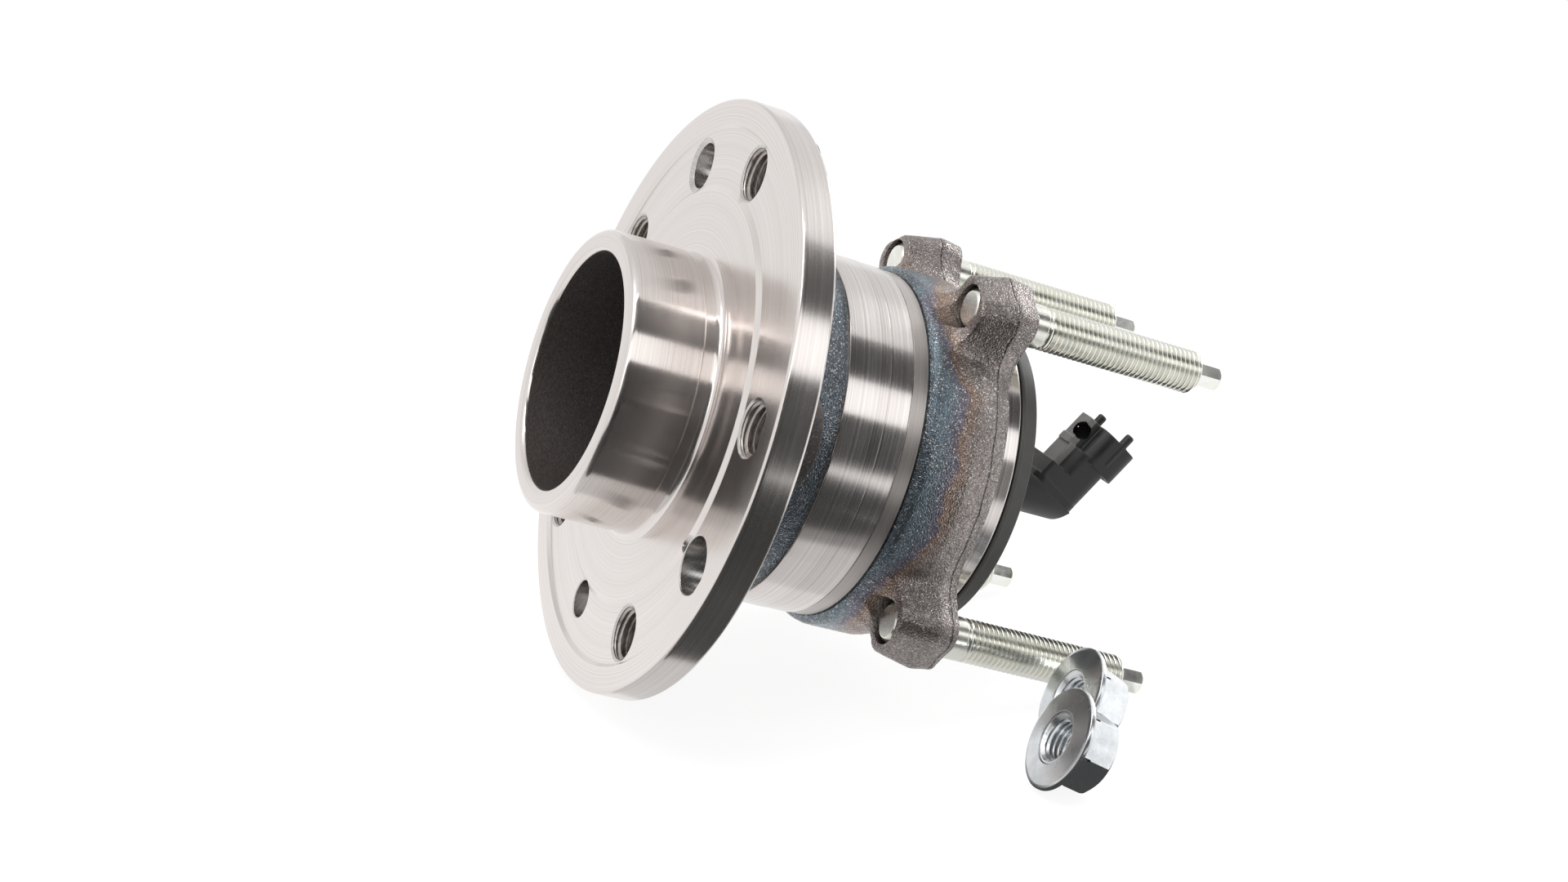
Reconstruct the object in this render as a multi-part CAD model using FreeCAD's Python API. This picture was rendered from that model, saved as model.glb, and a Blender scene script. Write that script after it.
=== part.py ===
"""Wheel hub bearing: a flanged hub turning in a double-row ball bearing.

The spin axis is Y. The wheel side, with the hub's nose, is towards -Y and the axle side, with the studs
and the speed sensor, is towards +Y. The origin is on the axis at the wheel-mounting face. All lengths
are millimetres, and profiles that are turned about the axis are lists of (y, radius) points.
"""
import math
import os

import FreeCAD
import Part
from FreeCAD import Placement, Rotation, Vector

# Hub flange and its face
FLANGE_R = 68.6
FLANGE_RIM_Y = 8.2
FLANGE_CHAMFER = 0.9
FACE_RELIEF = 0.5
RIM_LAND = 6.1
RELIEF_OUTER_R = FLANGE_R - RIM_LAND
RELIEF_INNER_R = 47.4
RELIEF_BEVEL = 1.3
FLANGE_ROOT_R = 38.5
FLANGE_ROOT_Y = 12.6
FLANGE_BACK_R = 45.0

# Nose that centres the wheel, and the forged cup inside it
NOSE_LENGTH = 21.8
NOSE_R = 32.45
NOSE_RIM_ROUND = 1.9
NOSE_LINE_Y = -4.4
NOSE_RELIEF = 0.35
NOSE_FILLET = 4.0
CUP_R = 27.2
CUP_CHAMFER = 1.1
CUP_DEPTH = 25.0
CUP_CORNER = 7.0
NOSE_LINE_CHAMFER = 0.35

# Holes through the flange: five for the wheel bolts, two plain, one for the disc's locating screw
BOLT_PCD = 110.0
BOLT_COUNT = 5
BOLT_FIRST_DEG = 8.4
BOLT_HOLE_R = 6.0
BOLT_CHAMFER = 0.6
BOSS_R = 10.5
BOSS_Y = 12.2
BOSS_DRAFT = 1.2
SMALL_HOLE_R = 5.35
SMALL_HOLE_CHAMFER = 1.2
SMALL_HOLE_DEG = 114.9
LARGE_HOLE_R = 6.4
LARGE_HOLE_CHAMFER = 0.3
LARGE_HOLE_DEG = -26.8
PLAIN_HOLES_CIRCLE_R = 54.7
SCREW_HOLE_R = 4.35
SCREW_HOLE_CHAMFER = 0.3
SCREW_HOLE_DEG = -97.5
SCREW_HOLE_CIRCLE_R = 52.8

# Balls, races and cages
BALL_R = 5.953
BALLS_PER_ROW = 12
PITCH_R = 27.75
OUTBOARD_ROW_Y = 27.0
INBOARD_ROW_Y = 47.0
RACE_CLEARANCE = 0.05
INNER_SHOULDER_R = 25.2
OUTER_SHOULDER_R = 30.2
CAGE_POCKET_CLEARANCE = 0.12
CAGE_INNER_R = 26.3
CAGE_OUTER_R = 29.3
CAGE_BACK = 1.25
CAGE_FINGER = 2.5

# Spindle and the pressed-on inner race
SEAL_LAND_R = 30.0
SEAL_LAND_END_Y = 20.2
SEAL_LAND_FILLET = 1.0
SEAL_LAND_STEP = 1.0
SPINDLE_SEAT_R = 18.0
SPINDLE_END_Y = 60.5
SPINDLE_RIM_R = 21.6
SPINDLE_RIM_ROUND = 1.6
SPINDLE_DIMPLE_R = 9.0
SPINDLE_DIMPLE_DEPTH = 6.0
SPINDLE_DIMPLE_TAPER = 2.0
INNER_RACE_START_Y = 37.5
INNER_RACE_END_Y = 57.0
INNER_RACE_CHAMFER = 0.5

# Housing that bolts to the axle
HOUSING_FRONT_Y = 14.2
HOUSING_FRONT_R = 39.4
HOUSING_FORGED_R = 40.3
HOUSING_FRONT_CHAMFER = 0.8
HOUSING_LEAD_IN = 0.4
MACHINED_START_Y = 26.4
MACHINED_R = 41.1
MACHINED_END_Y = 46.5
MACHINED_STEP_Y = 36.6
MACHINED_STEP = 0.12
MACHINED_CHAMFER = 0.2
GROOVE_Y = 42.8
GROOVE_WIDTH = 0.7
GROOVE_DEPTH = 0.5
RING_R = 40.7
FORGING_R = 42.6
FORGING_ROUND = 2.2
FORGING_TAPER_Y = 59.2
PARTING_Y = 63.2
PARTING_R = 41.4
AXLE_FACE_Y = 68.0
AXLE_FACE_R = 38.4
PILOT_R = 37.1
PILOT_END_Y = 72.4
PILOT_CHAMFER = 0.5
SEAL_SECTION = 5.4
SEAL_SEAT_R = SEAL_LAND_R + SEAL_SECTION
SEAL_SEAT_END_Y = 20.4
REAR_BORE_R = 33.8

# Studs and the ears that hold them
STUD_UPPER_X = 22.7
STUD_UPPER_Z = 41.3
STUD_LOWER_X = 37.3
STUD_LOWER_Z = -29.5
STUD_R = 5.0
STUD_HEAD_Y = 55.4
STUD_HEAD_R = 4.6
STUD_HEAD_CHAMFER = 0.9
STUD_KNURL_R = 5.2
STUD_KNURL_START_Y = 57.4
STUD_THREAD_START_Y = 73.7
STUD_NECK_R = 4.55
STUD_NECK = 0.5
STUD_THREAD_END_Y = 114.5
STUD_END_CHAMFER = 1.1
STUD_TIP_Y = 121.0
STUD_TIP_FLATS = 5.1
EAR_FRONT_Y = 54.0
EAR_ROOT_Y = 48.0
EAR_ROOT_FILLET = 5.0
EAR_END = 6.9
EAR_HALF_WIDTH = 8.7
EAR_CORNER = 4.4
EAR_DRAFT = 2.3
EAR_BACK_DRAFT = 0.7
EAR_WEB_R = 9.0
EAR_ROOT_SHARE = 0.8

# Seal on the wheel side
SEAL_FRONT_Y = 15.0
SEAL_CASE_WALL = 0.9
SEAL_CASE_FLANGE = 2.8
SEAL_CASE_INNER_R = SEAL_SEAT_R - SEAL_CASE_FLANGE
SEAL_LIP_CLEARANCE = 0.12
SLINGER_WALL = 0.6
SLINGER_EDGE_GAP = 1.0
SLINGER_OUTER_R = SEAL_SEAT_R - SLINGER_EDGE_GAP
SLINGER_END_Y = 19.6
RADIAL_LIP_REACH = 2.2
LIP_THICK = 0.7
AXIAL_LIP_REACH = 0.95

# Encoder ring on the axle side
CARRIER_WALL = 0.8
CARRIER_SLEEVE_START_Y = 53.6
CARRIER_FACE_Y = 58.2
ENCODER_WALL = 1.3
ENCODER_INNER_R = PITCH_R - 0.55
ENCODER_OUTER_R = PITCH_R + 4.85

# Sensor cap, its O-ring and the connector
CAP_FRONT_Y = 72.9
CAP_RIM_R = 36.9
CAP_RIM_BACK_R = 36.2
CAP_RIM_Y = 77.1
CAP_FLOOR_Y = 74.6
CAP_LIP = 2.6
CAP_SPIGOT_R = 33.7
CAP_SPIGOT_Y = 64.4
CAP_WALL = 2.6
CAP_RIB_COUNT = 12
CAP_RIB_WIDTH = 1.6
CAP_RIB_SETBACK = 0.3
CAP_HUB_R = 11.5
CAP_HUB_END_Y = 80.1
CAP_LEAD_IN = 0.4
O_RING_R = 1.05
O_RING_Y = 69.6
SENSOR_RADIUS = 28.9
SENSOR_GAP = 0.9
SENSOR_WIDTH = 6.4
SENSOR_HEIGHT = 4.6
SENSOR_FIT = 0.05
SENSOR_SLEEVE_WALL = 1.2
SENSOR_SEAT = 0.8
TOWER_R = 7.5
TOWER_Z = 2.75
TOWER_CORNER_Y = 105.5
TOWER_CORNER_DEG = 51.6
BARREL_TILT_DEG = 62.9
BARREL_OFFSET = 92.9
BARREL_START = 47.6
BARREL_COLLAR_END = 49.9
BARREL_BASE_END = 54.0
BARREL_BODY_END = 59.3
BARREL_MOUTH_END = 67.85
BARREL_HALF_DEPTH = 5.4
BARREL_WIDTH = 13.0
BARREL_BASE_HALF_DEPTH = 5.3
BARREL_BASE_BACK = 10.0
BARREL_CORNER = 3.0
BARREL_COLLAR_STEP = 0.4
BARREL_BACK_START = 45.6
MOUTH_HALF_DEPTH = 7.6
MOUTH_WIDTH = 15.0
MOUTH_WALL = 1.5
MOUTH_FLOOR = 58.6
SOCKET_CORNER = 2.0
LATCH_BACK = 11.1
LATCH_WIDTH = 7.0
LATCH_START = 59.9
LATCH_END = 67.3
LATCH_HOLE_R = 2.0
LATCH_HOLE_U = 84.4
LATCH_HOLE_HEIGHT = 63.3
LATCH_POST_WIDTH = 5.6
LATCH_POST_END = 58.9
PRONG_LENGTH = 3.6
PRONG_WIDTH = 1.4
PRONG_NEAR_U = 86.8
PRONG_FAR_U = 97.3
PIN_PITCH = 4.6
PIN_WIDTH = 1.5
PIN_THICKNESS = 0.8
PIN_LENGTH = 7.0

# Loose nuts, with captive washers, that lie on the bench the unit leans on
NUT_FLATS = 16.0
NUT_HEIGHT = 8.4
NUT_BORE_R = 5.0
NUT_BORE_CHAMFER = 0.45
NUT_COLLAR_R = 6.6
NUT_COLLAR_FLANGE_R = 7.4
WASHER_R = 11.6
WASHER_THICK = 2.2
WASHER_RUNNING_GAP = 0.08
WASHER_CHAMFER = 0.4
NUT_COLLAR_SETBACK = 0.25
NUT_COLLAR_FLANGE = 0.5
NUT_CORNER_CHAMFER = 1.0
NUT_1_FACE = (81.5, 78.8, -34.2)
NUT_2_FACE = (57.6, 92.3, -30.8)
NUT_AXIS = (-0.045, -0.983, 0.179)

AXIS = Vector(0, 1, 0)
ORIGIN = Vector(0, 0, 0)


def turned(steps):
    """Solid turned about the Y axis from a closed outline.

    Each step is a (y, radius) corner, or (via y, via radius, y, radius) for an arc through a via point.
    """
    start = Vector(steps[0][1], steps[0][0], 0)
    here = start
    edges = []
    for step in steps[1:] + [steps[0]]:
        there = Vector(step[-1], step[-2], 0)
        if len(step) == 4:
            edges.append(Part.Arc(here, Vector(step[1], step[0], 0), there).toShape())
        elif (there - here).Length > 1e-6:
            edges.append(Part.makeLine(here, there))
        here = there
    return Part.Face(Part.Wire(edges)).revolve(ORIGIN, AXIS, 360)


def cylinder(radius, start_y, end_y, x=0.0, z=0.0):
    """Solid cylinder along Y between two stations."""
    return Part.makeCylinder(radius, end_y - start_y, Vector(x, start_y, z), AXIS)


def cone(start_r, end_r, start_y, end_y, x=0.0, z=0.0):
    """Solid cone along Y between two stations."""
    return Part.makeCone(start_r, end_r, end_y - start_y, Vector(x, start_y, z), AXIS)


def bend(centre_y, centre_r, radius, start_deg, end_deg):
    """Steps for an arc in the (y, radius) plane: its start, then the arc to its end."""
    points = []
    for degrees in (start_deg, (start_deg + end_deg) / 2, end_deg):
        angle = math.radians(degrees)
        points.append((centre_y + radius * math.cos(angle), centre_r + radius * math.sin(angle)))
    start, via, end = points
    return [start, via + end]


def polar(radius, degrees):
    """The x and z of a point at an angle from +X towards +Z."""
    angle = math.radians(degrees)
    return radius * math.cos(angle), radius * math.sin(angle)


def bolt_angles():
    """Angles of the wheel bolt holes in degrees."""
    return [BOLT_FIRST_DEG + index * 360.0 / BOLT_COUNT for index in range(BOLT_COUNT)]


def stud_places():
    """Name and place of each axle stud."""
    return {
        "stud_upper_left": (-STUD_UPPER_X, STUD_UPPER_Z),
        "stud_upper_right": (STUD_UPPER_X, STUD_UPPER_Z),
        "stud_lower_left": (-STUD_LOWER_X, STUD_LOWER_Z),
        "stud_lower_right": (STUD_LOWER_X, STUD_LOWER_Z),
    }


def groove_ring(row_y):
    """Torus that the balls of one row sweep, with the running clearance."""
    return Part.makeTorus(PITCH_R, BALL_R + RACE_CLEARANCE, Vector(0, row_y, 0), AXIS)


def hub_outline():
    """Closed (y, radius) outline of the hub without its raceway and holes."""
    nose_end = -NOSE_LENGTH
    cup_floor = nose_end + CUP_DEPTH
    outline = [(cup_floor, 0.0)]
    outline += bend(cup_floor - CUP_CORNER, CUP_R - CUP_CORNER, CUP_CORNER, 0, 90)
    outline += [(nose_end + CUP_CHAMFER, CUP_R), (nose_end, CUP_R + CUP_CHAMFER)]
    outline += bend(nose_end + NOSE_RIM_ROUND, NOSE_R - NOSE_RIM_ROUND, NOSE_RIM_ROUND, 180, 90)
    outline += [(NOSE_LINE_Y, NOSE_R), (NOSE_LINE_Y + NOSE_LINE_CHAMFER, NOSE_R - NOSE_RELIEF)]
    fillet_r = NOSE_R - NOSE_RELIEF + NOSE_FILLET
    outline += bend(-NOSE_FILLET, fillet_r, NOSE_FILLET, 270, 360)
    outline += [(0.0, RELIEF_INNER_R), (FACE_RELIEF, RELIEF_INNER_R + RELIEF_BEVEL)]
    outline += [(FACE_RELIEF, RELIEF_OUTER_R - FACE_RELIEF), (0.0, RELIEF_OUTER_R)]
    outline += [(0.0, FLANGE_R - FLANGE_CHAMFER), (FLANGE_CHAMFER, FLANGE_R)]
    outline += [(FLANGE_RIM_Y - FLANGE_CHAMFER, FLANGE_R), (FLANGE_RIM_Y, FLANGE_R - FLANGE_CHAMFER)]
    outline += [(FLANGE_RIM_Y, FLANGE_BACK_R), (FLANGE_ROOT_Y, FLANGE_ROOT_R)]
    outline += [(FLANGE_ROOT_Y, SEAL_LAND_R + SEAL_LAND_FILLET)]
    outline += [(FLANGE_ROOT_Y + SEAL_LAND_FILLET, SEAL_LAND_R), (SEAL_LAND_END_Y, SEAL_LAND_R)]
    outline += [(SEAL_LAND_END_Y + SEAL_LAND_STEP, INNER_SHOULDER_R), (OUTBOARD_ROW_Y, INNER_SHOULDER_R)]
    groove_floor = PITCH_R - BALL_R - RACE_CLEARANCE
    outline += [(OUTBOARD_ROW_Y, groove_floor), (INNER_RACE_START_Y, groove_floor)]
    outline += [(INNER_RACE_START_Y, SPINDLE_SEAT_R), (INNER_RACE_END_Y, SPINDLE_SEAT_R)]
    dimple_y = SPINDLE_END_Y - SPINDLE_DIMPLE_DEPTH
    outline += [(INNER_RACE_END_Y, SPINDLE_RIM_R), (SPINDLE_END_Y - SPINDLE_RIM_ROUND, SPINDLE_RIM_R)]
    outline += [(SPINDLE_END_Y, SPINDLE_RIM_R - SPINDLE_RIM_ROUND)]
    outline += [(SPINDLE_END_Y, SPINDLE_DIMPLE_R + SPINDLE_DIMPLE_TAPER), (dimple_y, SPINDLE_DIMPLE_R)]
    return outline + [(dimple_y, 0.0)]


def flange_hole(radius, chamfer, circle_r, degrees):
    """Cutter for a hole through the flange, with its chamfer on the relieved face."""
    x, z = polar(circle_r, degrees)
    bore = cylinder(radius, -1.0, BOSS_Y + 1.0, x, z)
    mouth = cone(radius + chamfer + 1.0, radius, FACE_RELIEF - 1.0, FACE_RELIEF + chamfer, x, z)
    return bore.fuse(mouth)


def make_hub():
    """Hub: wheel flange, nose, bosses and spindle with the outboard inner raceway."""
    hub = turned(hub_outline())
    hub = hub.cut(groove_ring(OUTBOARD_ROW_Y))
    for degrees in bolt_angles():
        x, z = polar(BOLT_PCD / 2, degrees)
        boss = cone(BOSS_R + BOSS_DRAFT, BOSS_R, FLANGE_RIM_Y - 1.0, BOSS_Y, x, z)
        hub = hub.fuse(boss.common(cylinder(FLANGE_R - FLANGE_CHAMFER, 0.0, BOSS_Y + 1.0)))
        hub = hub.cut(flange_hole(BOLT_HOLE_R, BOLT_CHAMFER, BOLT_PCD / 2, degrees))
    hub = hub.cut(flange_hole(SMALL_HOLE_R, SMALL_HOLE_CHAMFER, PLAIN_HOLES_CIRCLE_R, SMALL_HOLE_DEG))
    hub = hub.cut(flange_hole(LARGE_HOLE_R, LARGE_HOLE_CHAMFER, PLAIN_HOLES_CIRCLE_R, LARGE_HOLE_DEG))
    return hub.cut(flange_hole(SCREW_HOLE_R, SCREW_HOLE_CHAMFER, SCREW_HOLE_CIRCLE_R, SCREW_HOLE_DEG))


def make_inner_race():
    """Inner race pressed on the spindle, with the inboard inner raceway."""
    groove_floor = PITCH_R - BALL_R - RACE_CLEARANCE
    chamfer = INNER_RACE_CHAMFER
    race = turned([
        (INNER_RACE_START_Y, SPINDLE_SEAT_R), (INNER_RACE_START_Y, groove_floor - chamfer),
        (INNER_RACE_START_Y + chamfer, groove_floor), (INBOARD_ROW_Y, groove_floor),
        (INBOARD_ROW_Y, INNER_SHOULDER_R), (INNER_RACE_END_Y - chamfer, INNER_SHOULDER_R),
        (INNER_RACE_END_Y, INNER_SHOULDER_R - chamfer), (INNER_RACE_END_Y, SPINDLE_SEAT_R)])
    return race.cut(groove_ring(INBOARD_ROW_Y))


def ball_places(row_y):
    """Centres of one row's balls, with the first half a pitch from the ring's seam."""
    places = []
    for index in range(BALLS_PER_ROW):
        x, z = polar(PITCH_R, (index + 0.5) * 360.0 / BALLS_PER_ROW)
        places.append(Vector(x, row_y, z))
    return places


def make_balls(row_y):
    """The balls of one row, as separate solids in one group."""
    return Part.makeCompound([Part.makeSphere(BALL_R, place) for place in ball_places(row_y)])


def make_cage(row_y, side):
    """Snap-in ball cage, a ring with a ball pocket for each ball, closed on one side."""
    back_y = row_y + side * (BALL_R + CAGE_BACK)
    front_y = row_y - side * CAGE_FINGER
    low, high = sorted((back_y, front_y))
    ring = turned([(low, CAGE_INNER_R), (low, CAGE_OUTER_R), (high, CAGE_OUTER_R), (high, CAGE_INNER_R)])
    for place in ball_places(row_y):
        ring = ring.cut(Part.makeSphere(BALL_R + CAGE_POCKET_CLEARANCE, place))
    return ring


def housing_outline():
    """Closed (y, radius) outline of the housing without ears and raceways."""
    groove_top = PITCH_R + BALL_R + RACE_CLEARANCE
    outline = [(HOUSING_FRONT_Y, SEAL_SEAT_R + HOUSING_LEAD_IN)]
    outline += [(HOUSING_FRONT_Y, HOUSING_FRONT_R - HOUSING_FRONT_CHAMFER)]
    outline += [(HOUSING_FRONT_Y + HOUSING_FRONT_CHAMFER, HOUSING_FRONT_R)]
    outline += [(MACHINED_START_Y, HOUSING_FORGED_R), (MACHINED_START_Y, MACHINED_R - MACHINED_CHAMFER)]
    outline += [(MACHINED_START_Y + MACHINED_CHAMFER, MACHINED_R)]
    outline += [(MACHINED_STEP_Y, MACHINED_R), (MACHINED_STEP_Y, MACHINED_R - MACHINED_STEP)]
    outline += [(GROOVE_Y, MACHINED_R - MACHINED_STEP), (GROOVE_Y, RING_R - GROOVE_DEPTH)]
    outline += [(GROOVE_Y + GROOVE_WIDTH, RING_R - GROOVE_DEPTH), (GROOVE_Y + GROOVE_WIDTH, RING_R)]
    outline += [(MACHINED_END_Y, RING_R)]
    outline += bend(MACHINED_END_Y + FORGING_ROUND, FORGING_R - FORGING_ROUND, FORGING_ROUND, 175, 90)
    outline += [(FORGING_TAPER_Y, FORGING_R), (PARTING_Y, PARTING_R), (AXLE_FACE_Y, AXLE_FACE_R)]
    outline += [(AXLE_FACE_Y, PILOT_R), (PILOT_END_Y - PILOT_CHAMFER, PILOT_R)]
    outline += [(PILOT_END_Y, PILOT_R - PILOT_CHAMFER), (PILOT_END_Y, REAR_BORE_R + PILOT_CHAMFER)]
    outline += [(PILOT_END_Y - PILOT_CHAMFER, REAR_BORE_R)]
    outline += [(INBOARD_ROW_Y, groove_top), (INBOARD_ROW_Y, OUTER_SHOULDER_R)]
    outline += [(OUTBOARD_ROW_Y, OUTER_SHOULDER_R), (OUTBOARD_ROW_Y, groove_top)]
    outline += [(SEAL_SEAT_END_Y, groove_top), (SEAL_SEAT_END_Y, SEAL_SEAT_R)]
    return outline + [(HOUSING_FRONT_Y + HOUSING_LEAD_IN, SEAL_SEAT_R)]


def ear_wire(body_r, half_width, end_r, station_y):
    """Outline of one ear across the axis, pointing along +X, blended into the body by web arcs."""
    corner = EAR_CORNER
    side = half_width + EAR_WEB_R
    web_x = math.sqrt((body_r + EAR_WEB_R) ** 2 - side ** 2)
    root = Vector(web_x, 0, side).normalize() * body_r
    inner = root * EAR_ROOT_SHARE
    web_turn = math.atan2(side, web_x)
    web_mid_angle = (math.pi + web_turn + 1.5 * math.pi) / 2
    web_mid = Vector(web_x, 0, side) + Vector(math.cos(web_mid_angle), 0, math.sin(web_mid_angle)) * EAR_WEB_R
    half = math.sqrt(0.5) * corner
    upper = [inner, root, web_mid, Vector(web_x, 0, half_width),
             Vector(end_r - corner, 0, half_width),
             Vector(end_r - corner + half, 0, half_width - corner + half),
             Vector(end_r, 0, half_width - corner)]
    lower = [Vector(point.x, 0, -point.z) for point in reversed(upper)]
    lift = Vector(0, station_y, 0)
    upper = [point + lift for point in upper]
    lower = [point + lift for point in lower]
    edges = [Part.makeLine(upper[0], upper[1]), Part.Arc(upper[1], upper[2], upper[3]).toShape(),
             Part.makeLine(upper[3], upper[4]), Part.Arc(upper[4], upper[5], upper[6]).toShape(),
             Part.makeLine(upper[6], lower[0]), Part.Arc(lower[0], lower[1], lower[2]).toShape(),
             Part.makeLine(lower[2], lower[3]), Part.Arc(lower[3], lower[4], lower[5]).toShape(),
             Part.makeLine(lower[5], lower[6]), Part.makeLine(lower[6], upper[0])]
    return Part.Wire(edges)


def make_ear(x, z):
    """One drafted ear with its forged root, for a stud at x and z."""
    reach = math.hypot(x, z)
    end_r = reach + EAR_END
    root = ear_wire(PARTING_R, EAR_HALF_WIDTH - EAR_DRAFT, end_r - EAR_DRAFT, EAR_ROOT_Y)
    parting = ear_wire(PARTING_R, EAR_HALF_WIDTH, end_r, PARTING_Y)
    back = ear_wire(AXLE_FACE_R, EAR_HALF_WIDTH - EAR_BACK_DRAFT, end_r - EAR_BACK_DRAFT, AXLE_FACE_Y)
    block = Part.makeLoft([root, parting], True, True).fuse(Part.makeLoft([parting, back], True, True))
    outer = end_r + EAR_HALF_WIDTH
    fillet_r = FORGING_R + EAR_ROOT_FILLET
    front = [(EAR_FRONT_Y, outer)]
    front += bend(EAR_FRONT_Y - EAR_ROOT_FILLET, fillet_r, EAR_ROOT_FILLET, 0, -90)
    front += [(EAR_ROOT_Y, 0.0), (AXLE_FACE_Y, 0.0), (AXLE_FACE_Y, outer)]
    ear = block.common(turned(front))
    ear.rotate(ORIGIN, AXIS, -math.degrees(math.atan2(z, x)))
    return ear


def make_outer_ring():
    """Housing: outer raceways, machined register, forged body, four ears and the axle pilot."""
    housing = turned(housing_outline())
    bore = cylinder(REAR_BORE_R, HOUSING_FRONT_Y, PILOT_END_Y)
    for x, z in stud_places().values():
        housing = housing.fuse(make_ear(x, z).cut(bore))
    for row_y in (OUTBOARD_ROW_Y, INBOARD_ROW_Y):
        housing = housing.cut(groove_ring(row_y))
    for x, z in stud_places().values():
        housing = housing.cut(cylinder(STUD_KNURL_R, EAR_ROOT_Y - 1.0, AXLE_FACE_Y + 1.0, x, z))
    return housing.removeSplitter()


def make_stud(x, z):
    """Axle stud: plain head end, knurled seat, plain collar, threaded part and hexagon drive tip."""
    chamfer = STUD_END_CHAMFER
    blank = Part.makePolygon([Vector(radius, y, 0) for y, radius in [
        (STUD_HEAD_Y, 0.0), (STUD_HEAD_Y, STUD_HEAD_R - STUD_HEAD_CHAMFER),
        (STUD_HEAD_Y + STUD_HEAD_CHAMFER, STUD_HEAD_R), (STUD_KNURL_START_Y, STUD_HEAD_R),
        (STUD_KNURL_START_Y, STUD_KNURL_R), (AXLE_FACE_Y, STUD_KNURL_R), (AXLE_FACE_Y, STUD_R),
        (STUD_THREAD_START_Y - 2 * STUD_NECK, STUD_R), (STUD_THREAD_START_Y - STUD_NECK, STUD_NECK_R),
        (STUD_THREAD_START_Y, STUD_R), (STUD_THREAD_END_Y - chamfer, STUD_R),
        (STUD_THREAD_END_Y, STUD_R - chamfer), (STUD_THREAD_END_Y, 0.0), (STUD_HEAD_Y, 0.0)]])
    stud = Part.Face(blank).revolve(ORIGIN, AXIS, 360)
    stud = stud.fuse(hexagon(STUD_TIP_FLATS, STUD_THREAD_END_Y - chamfer, STUD_TIP_Y))
    stud.translate(Vector(x, 0, z))
    return stud


def hexagon(flats, start_y, end_y, turn_deg=0.0):
    """Hexagonal prism along Y, given across its flats."""
    corner_r = flats / math.sqrt(3)
    corners = []
    for index in range(6):
        x, z = polar(corner_r, turn_deg + 60.0 * index)
        corners.append(Vector(x, start_y, z))
    face = Part.Face(Part.makePolygon(corners + corners[:1]))
    return face.extrude(Vector(0, end_y - start_y, 0))


def make_seal_slinger():
    """Steel slinger on the hub's seal land, which the seal's lips run on."""
    bend_in = SEAL_LAND_FILLET + SLINGER_WALL / 3
    bend_out = bend_in + SLINGER_WALL * math.tan(math.radians(22.5))
    face_y = FLANGE_ROOT_Y + SLINGER_WALL
    return turned([
        (FLANGE_ROOT_Y, SEAL_LAND_R + bend_in), (FLANGE_ROOT_Y, SLINGER_OUTER_R), (face_y, SLINGER_OUTER_R),
        (face_y, SEAL_LAND_R + bend_out), (FLANGE_ROOT_Y + bend_out, SEAL_LAND_R + SLINGER_WALL),
        (SLINGER_END_Y, SEAL_LAND_R + SLINGER_WALL), (SLINGER_END_Y, SEAL_LAND_R),
        (FLANGE_ROOT_Y + bend_in, SEAL_LAND_R)])


def make_seal_case():
    """Pressed steel case of the wheel-side seal, in its seat in the housing."""
    inner = SEAL_SEAT_R - SEAL_CASE_WALL
    return turned([
        (SEAL_FRONT_Y, SEAL_CASE_INNER_R), (SEAL_FRONT_Y, SEAL_SEAT_R), (SEAL_SEAT_END_Y, SEAL_SEAT_R),
        (SEAL_SEAT_END_Y, inner), (SEAL_FRONT_Y + SEAL_CASE_WALL, inner),
        (SEAL_FRONT_Y + SEAL_CASE_WALL, SEAL_CASE_INNER_R)])


def make_seal_lips():
    """Rubber lips bonded to the seal case: one radial and two axial."""
    run_r = SEAL_LAND_R + SLINGER_WALL + SEAL_LIP_CLEARANCE
    back = SEAL_FRONT_Y + SEAL_CASE_WALL
    tip = back + RADIAL_LIP_REACH
    front = SEAL_FRONT_Y - AXIAL_LIP_REACH
    return turned([
        (SEAL_FRONT_Y, SEAL_CASE_INNER_R), (back, SEAL_CASE_INNER_R), (back, SEAL_CASE_INNER_R + LIP_THICK),
        (back + LIP_THICK, SEAL_CASE_INNER_R + LIP_THICK), (back + LIP_THICK, SEAL_CASE_INNER_R - LIP_THICK),
        (tip, run_r + LIP_THICK), (tip, run_r), (tip - LIP_THICK, run_r), (back, run_r + LIP_THICK),
        (SEAL_FRONT_Y, run_r + LIP_THICK), (front, run_r + LIP_THICK / 2), (front, run_r + LIP_THICK)])


def make_encoder_carrier():
    """Pressed steel carrier on the inner race's shoulder."""
    outer = INNER_SHOULDER_R + CARRIER_WALL
    return turned([
        (CARRIER_SLEEVE_START_Y, INNER_SHOULDER_R), (CARRIER_SLEEVE_START_Y, outer),
        (CARRIER_FACE_Y, outer), (CARRIER_FACE_Y, ENCODER_OUTER_R),
        (CARRIER_FACE_Y + CARRIER_WALL, ENCODER_OUTER_R), (CARRIER_FACE_Y + CARRIER_WALL, INNER_SHOULDER_R)])


def make_encoder_ring():
    """Magnetic ring bonded to the carrier, which the sensor reads."""
    start = CARRIER_FACE_Y + CARRIER_WALL
    return turned([(start, ENCODER_INNER_R), (start, ENCODER_OUTER_R),
                   (start + ENCODER_WALL, ENCODER_OUTER_R), (start + ENCODER_WALL, ENCODER_INNER_R)])


def rounded_block(half_u, width, start, end, corner=BARREL_CORNER):
    """Rounded prism on the barrel's centre line: half size along U, width along X, between two heights."""
    block = Part.makeBox(width, 2 * half_u, end - start, Vector(-width / 2, BARREL_OFFSET - half_u, start))
    uprights = [edge for edge in block.Edges if abs(edge.tangentAt(edge.FirstParameter).z) > 0.9]
    return block.makeFillet(corner, uprights)


def place_barrel(shape):
    """Moves a connector part from its own frame, U along Y and height along Z, onto the cap."""
    placed = shape.copy()
    placed.rotate(ORIGIN, Vector(1, 0, 0), BARREL_TILT_DEG - 90.0)
    return placed


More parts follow.
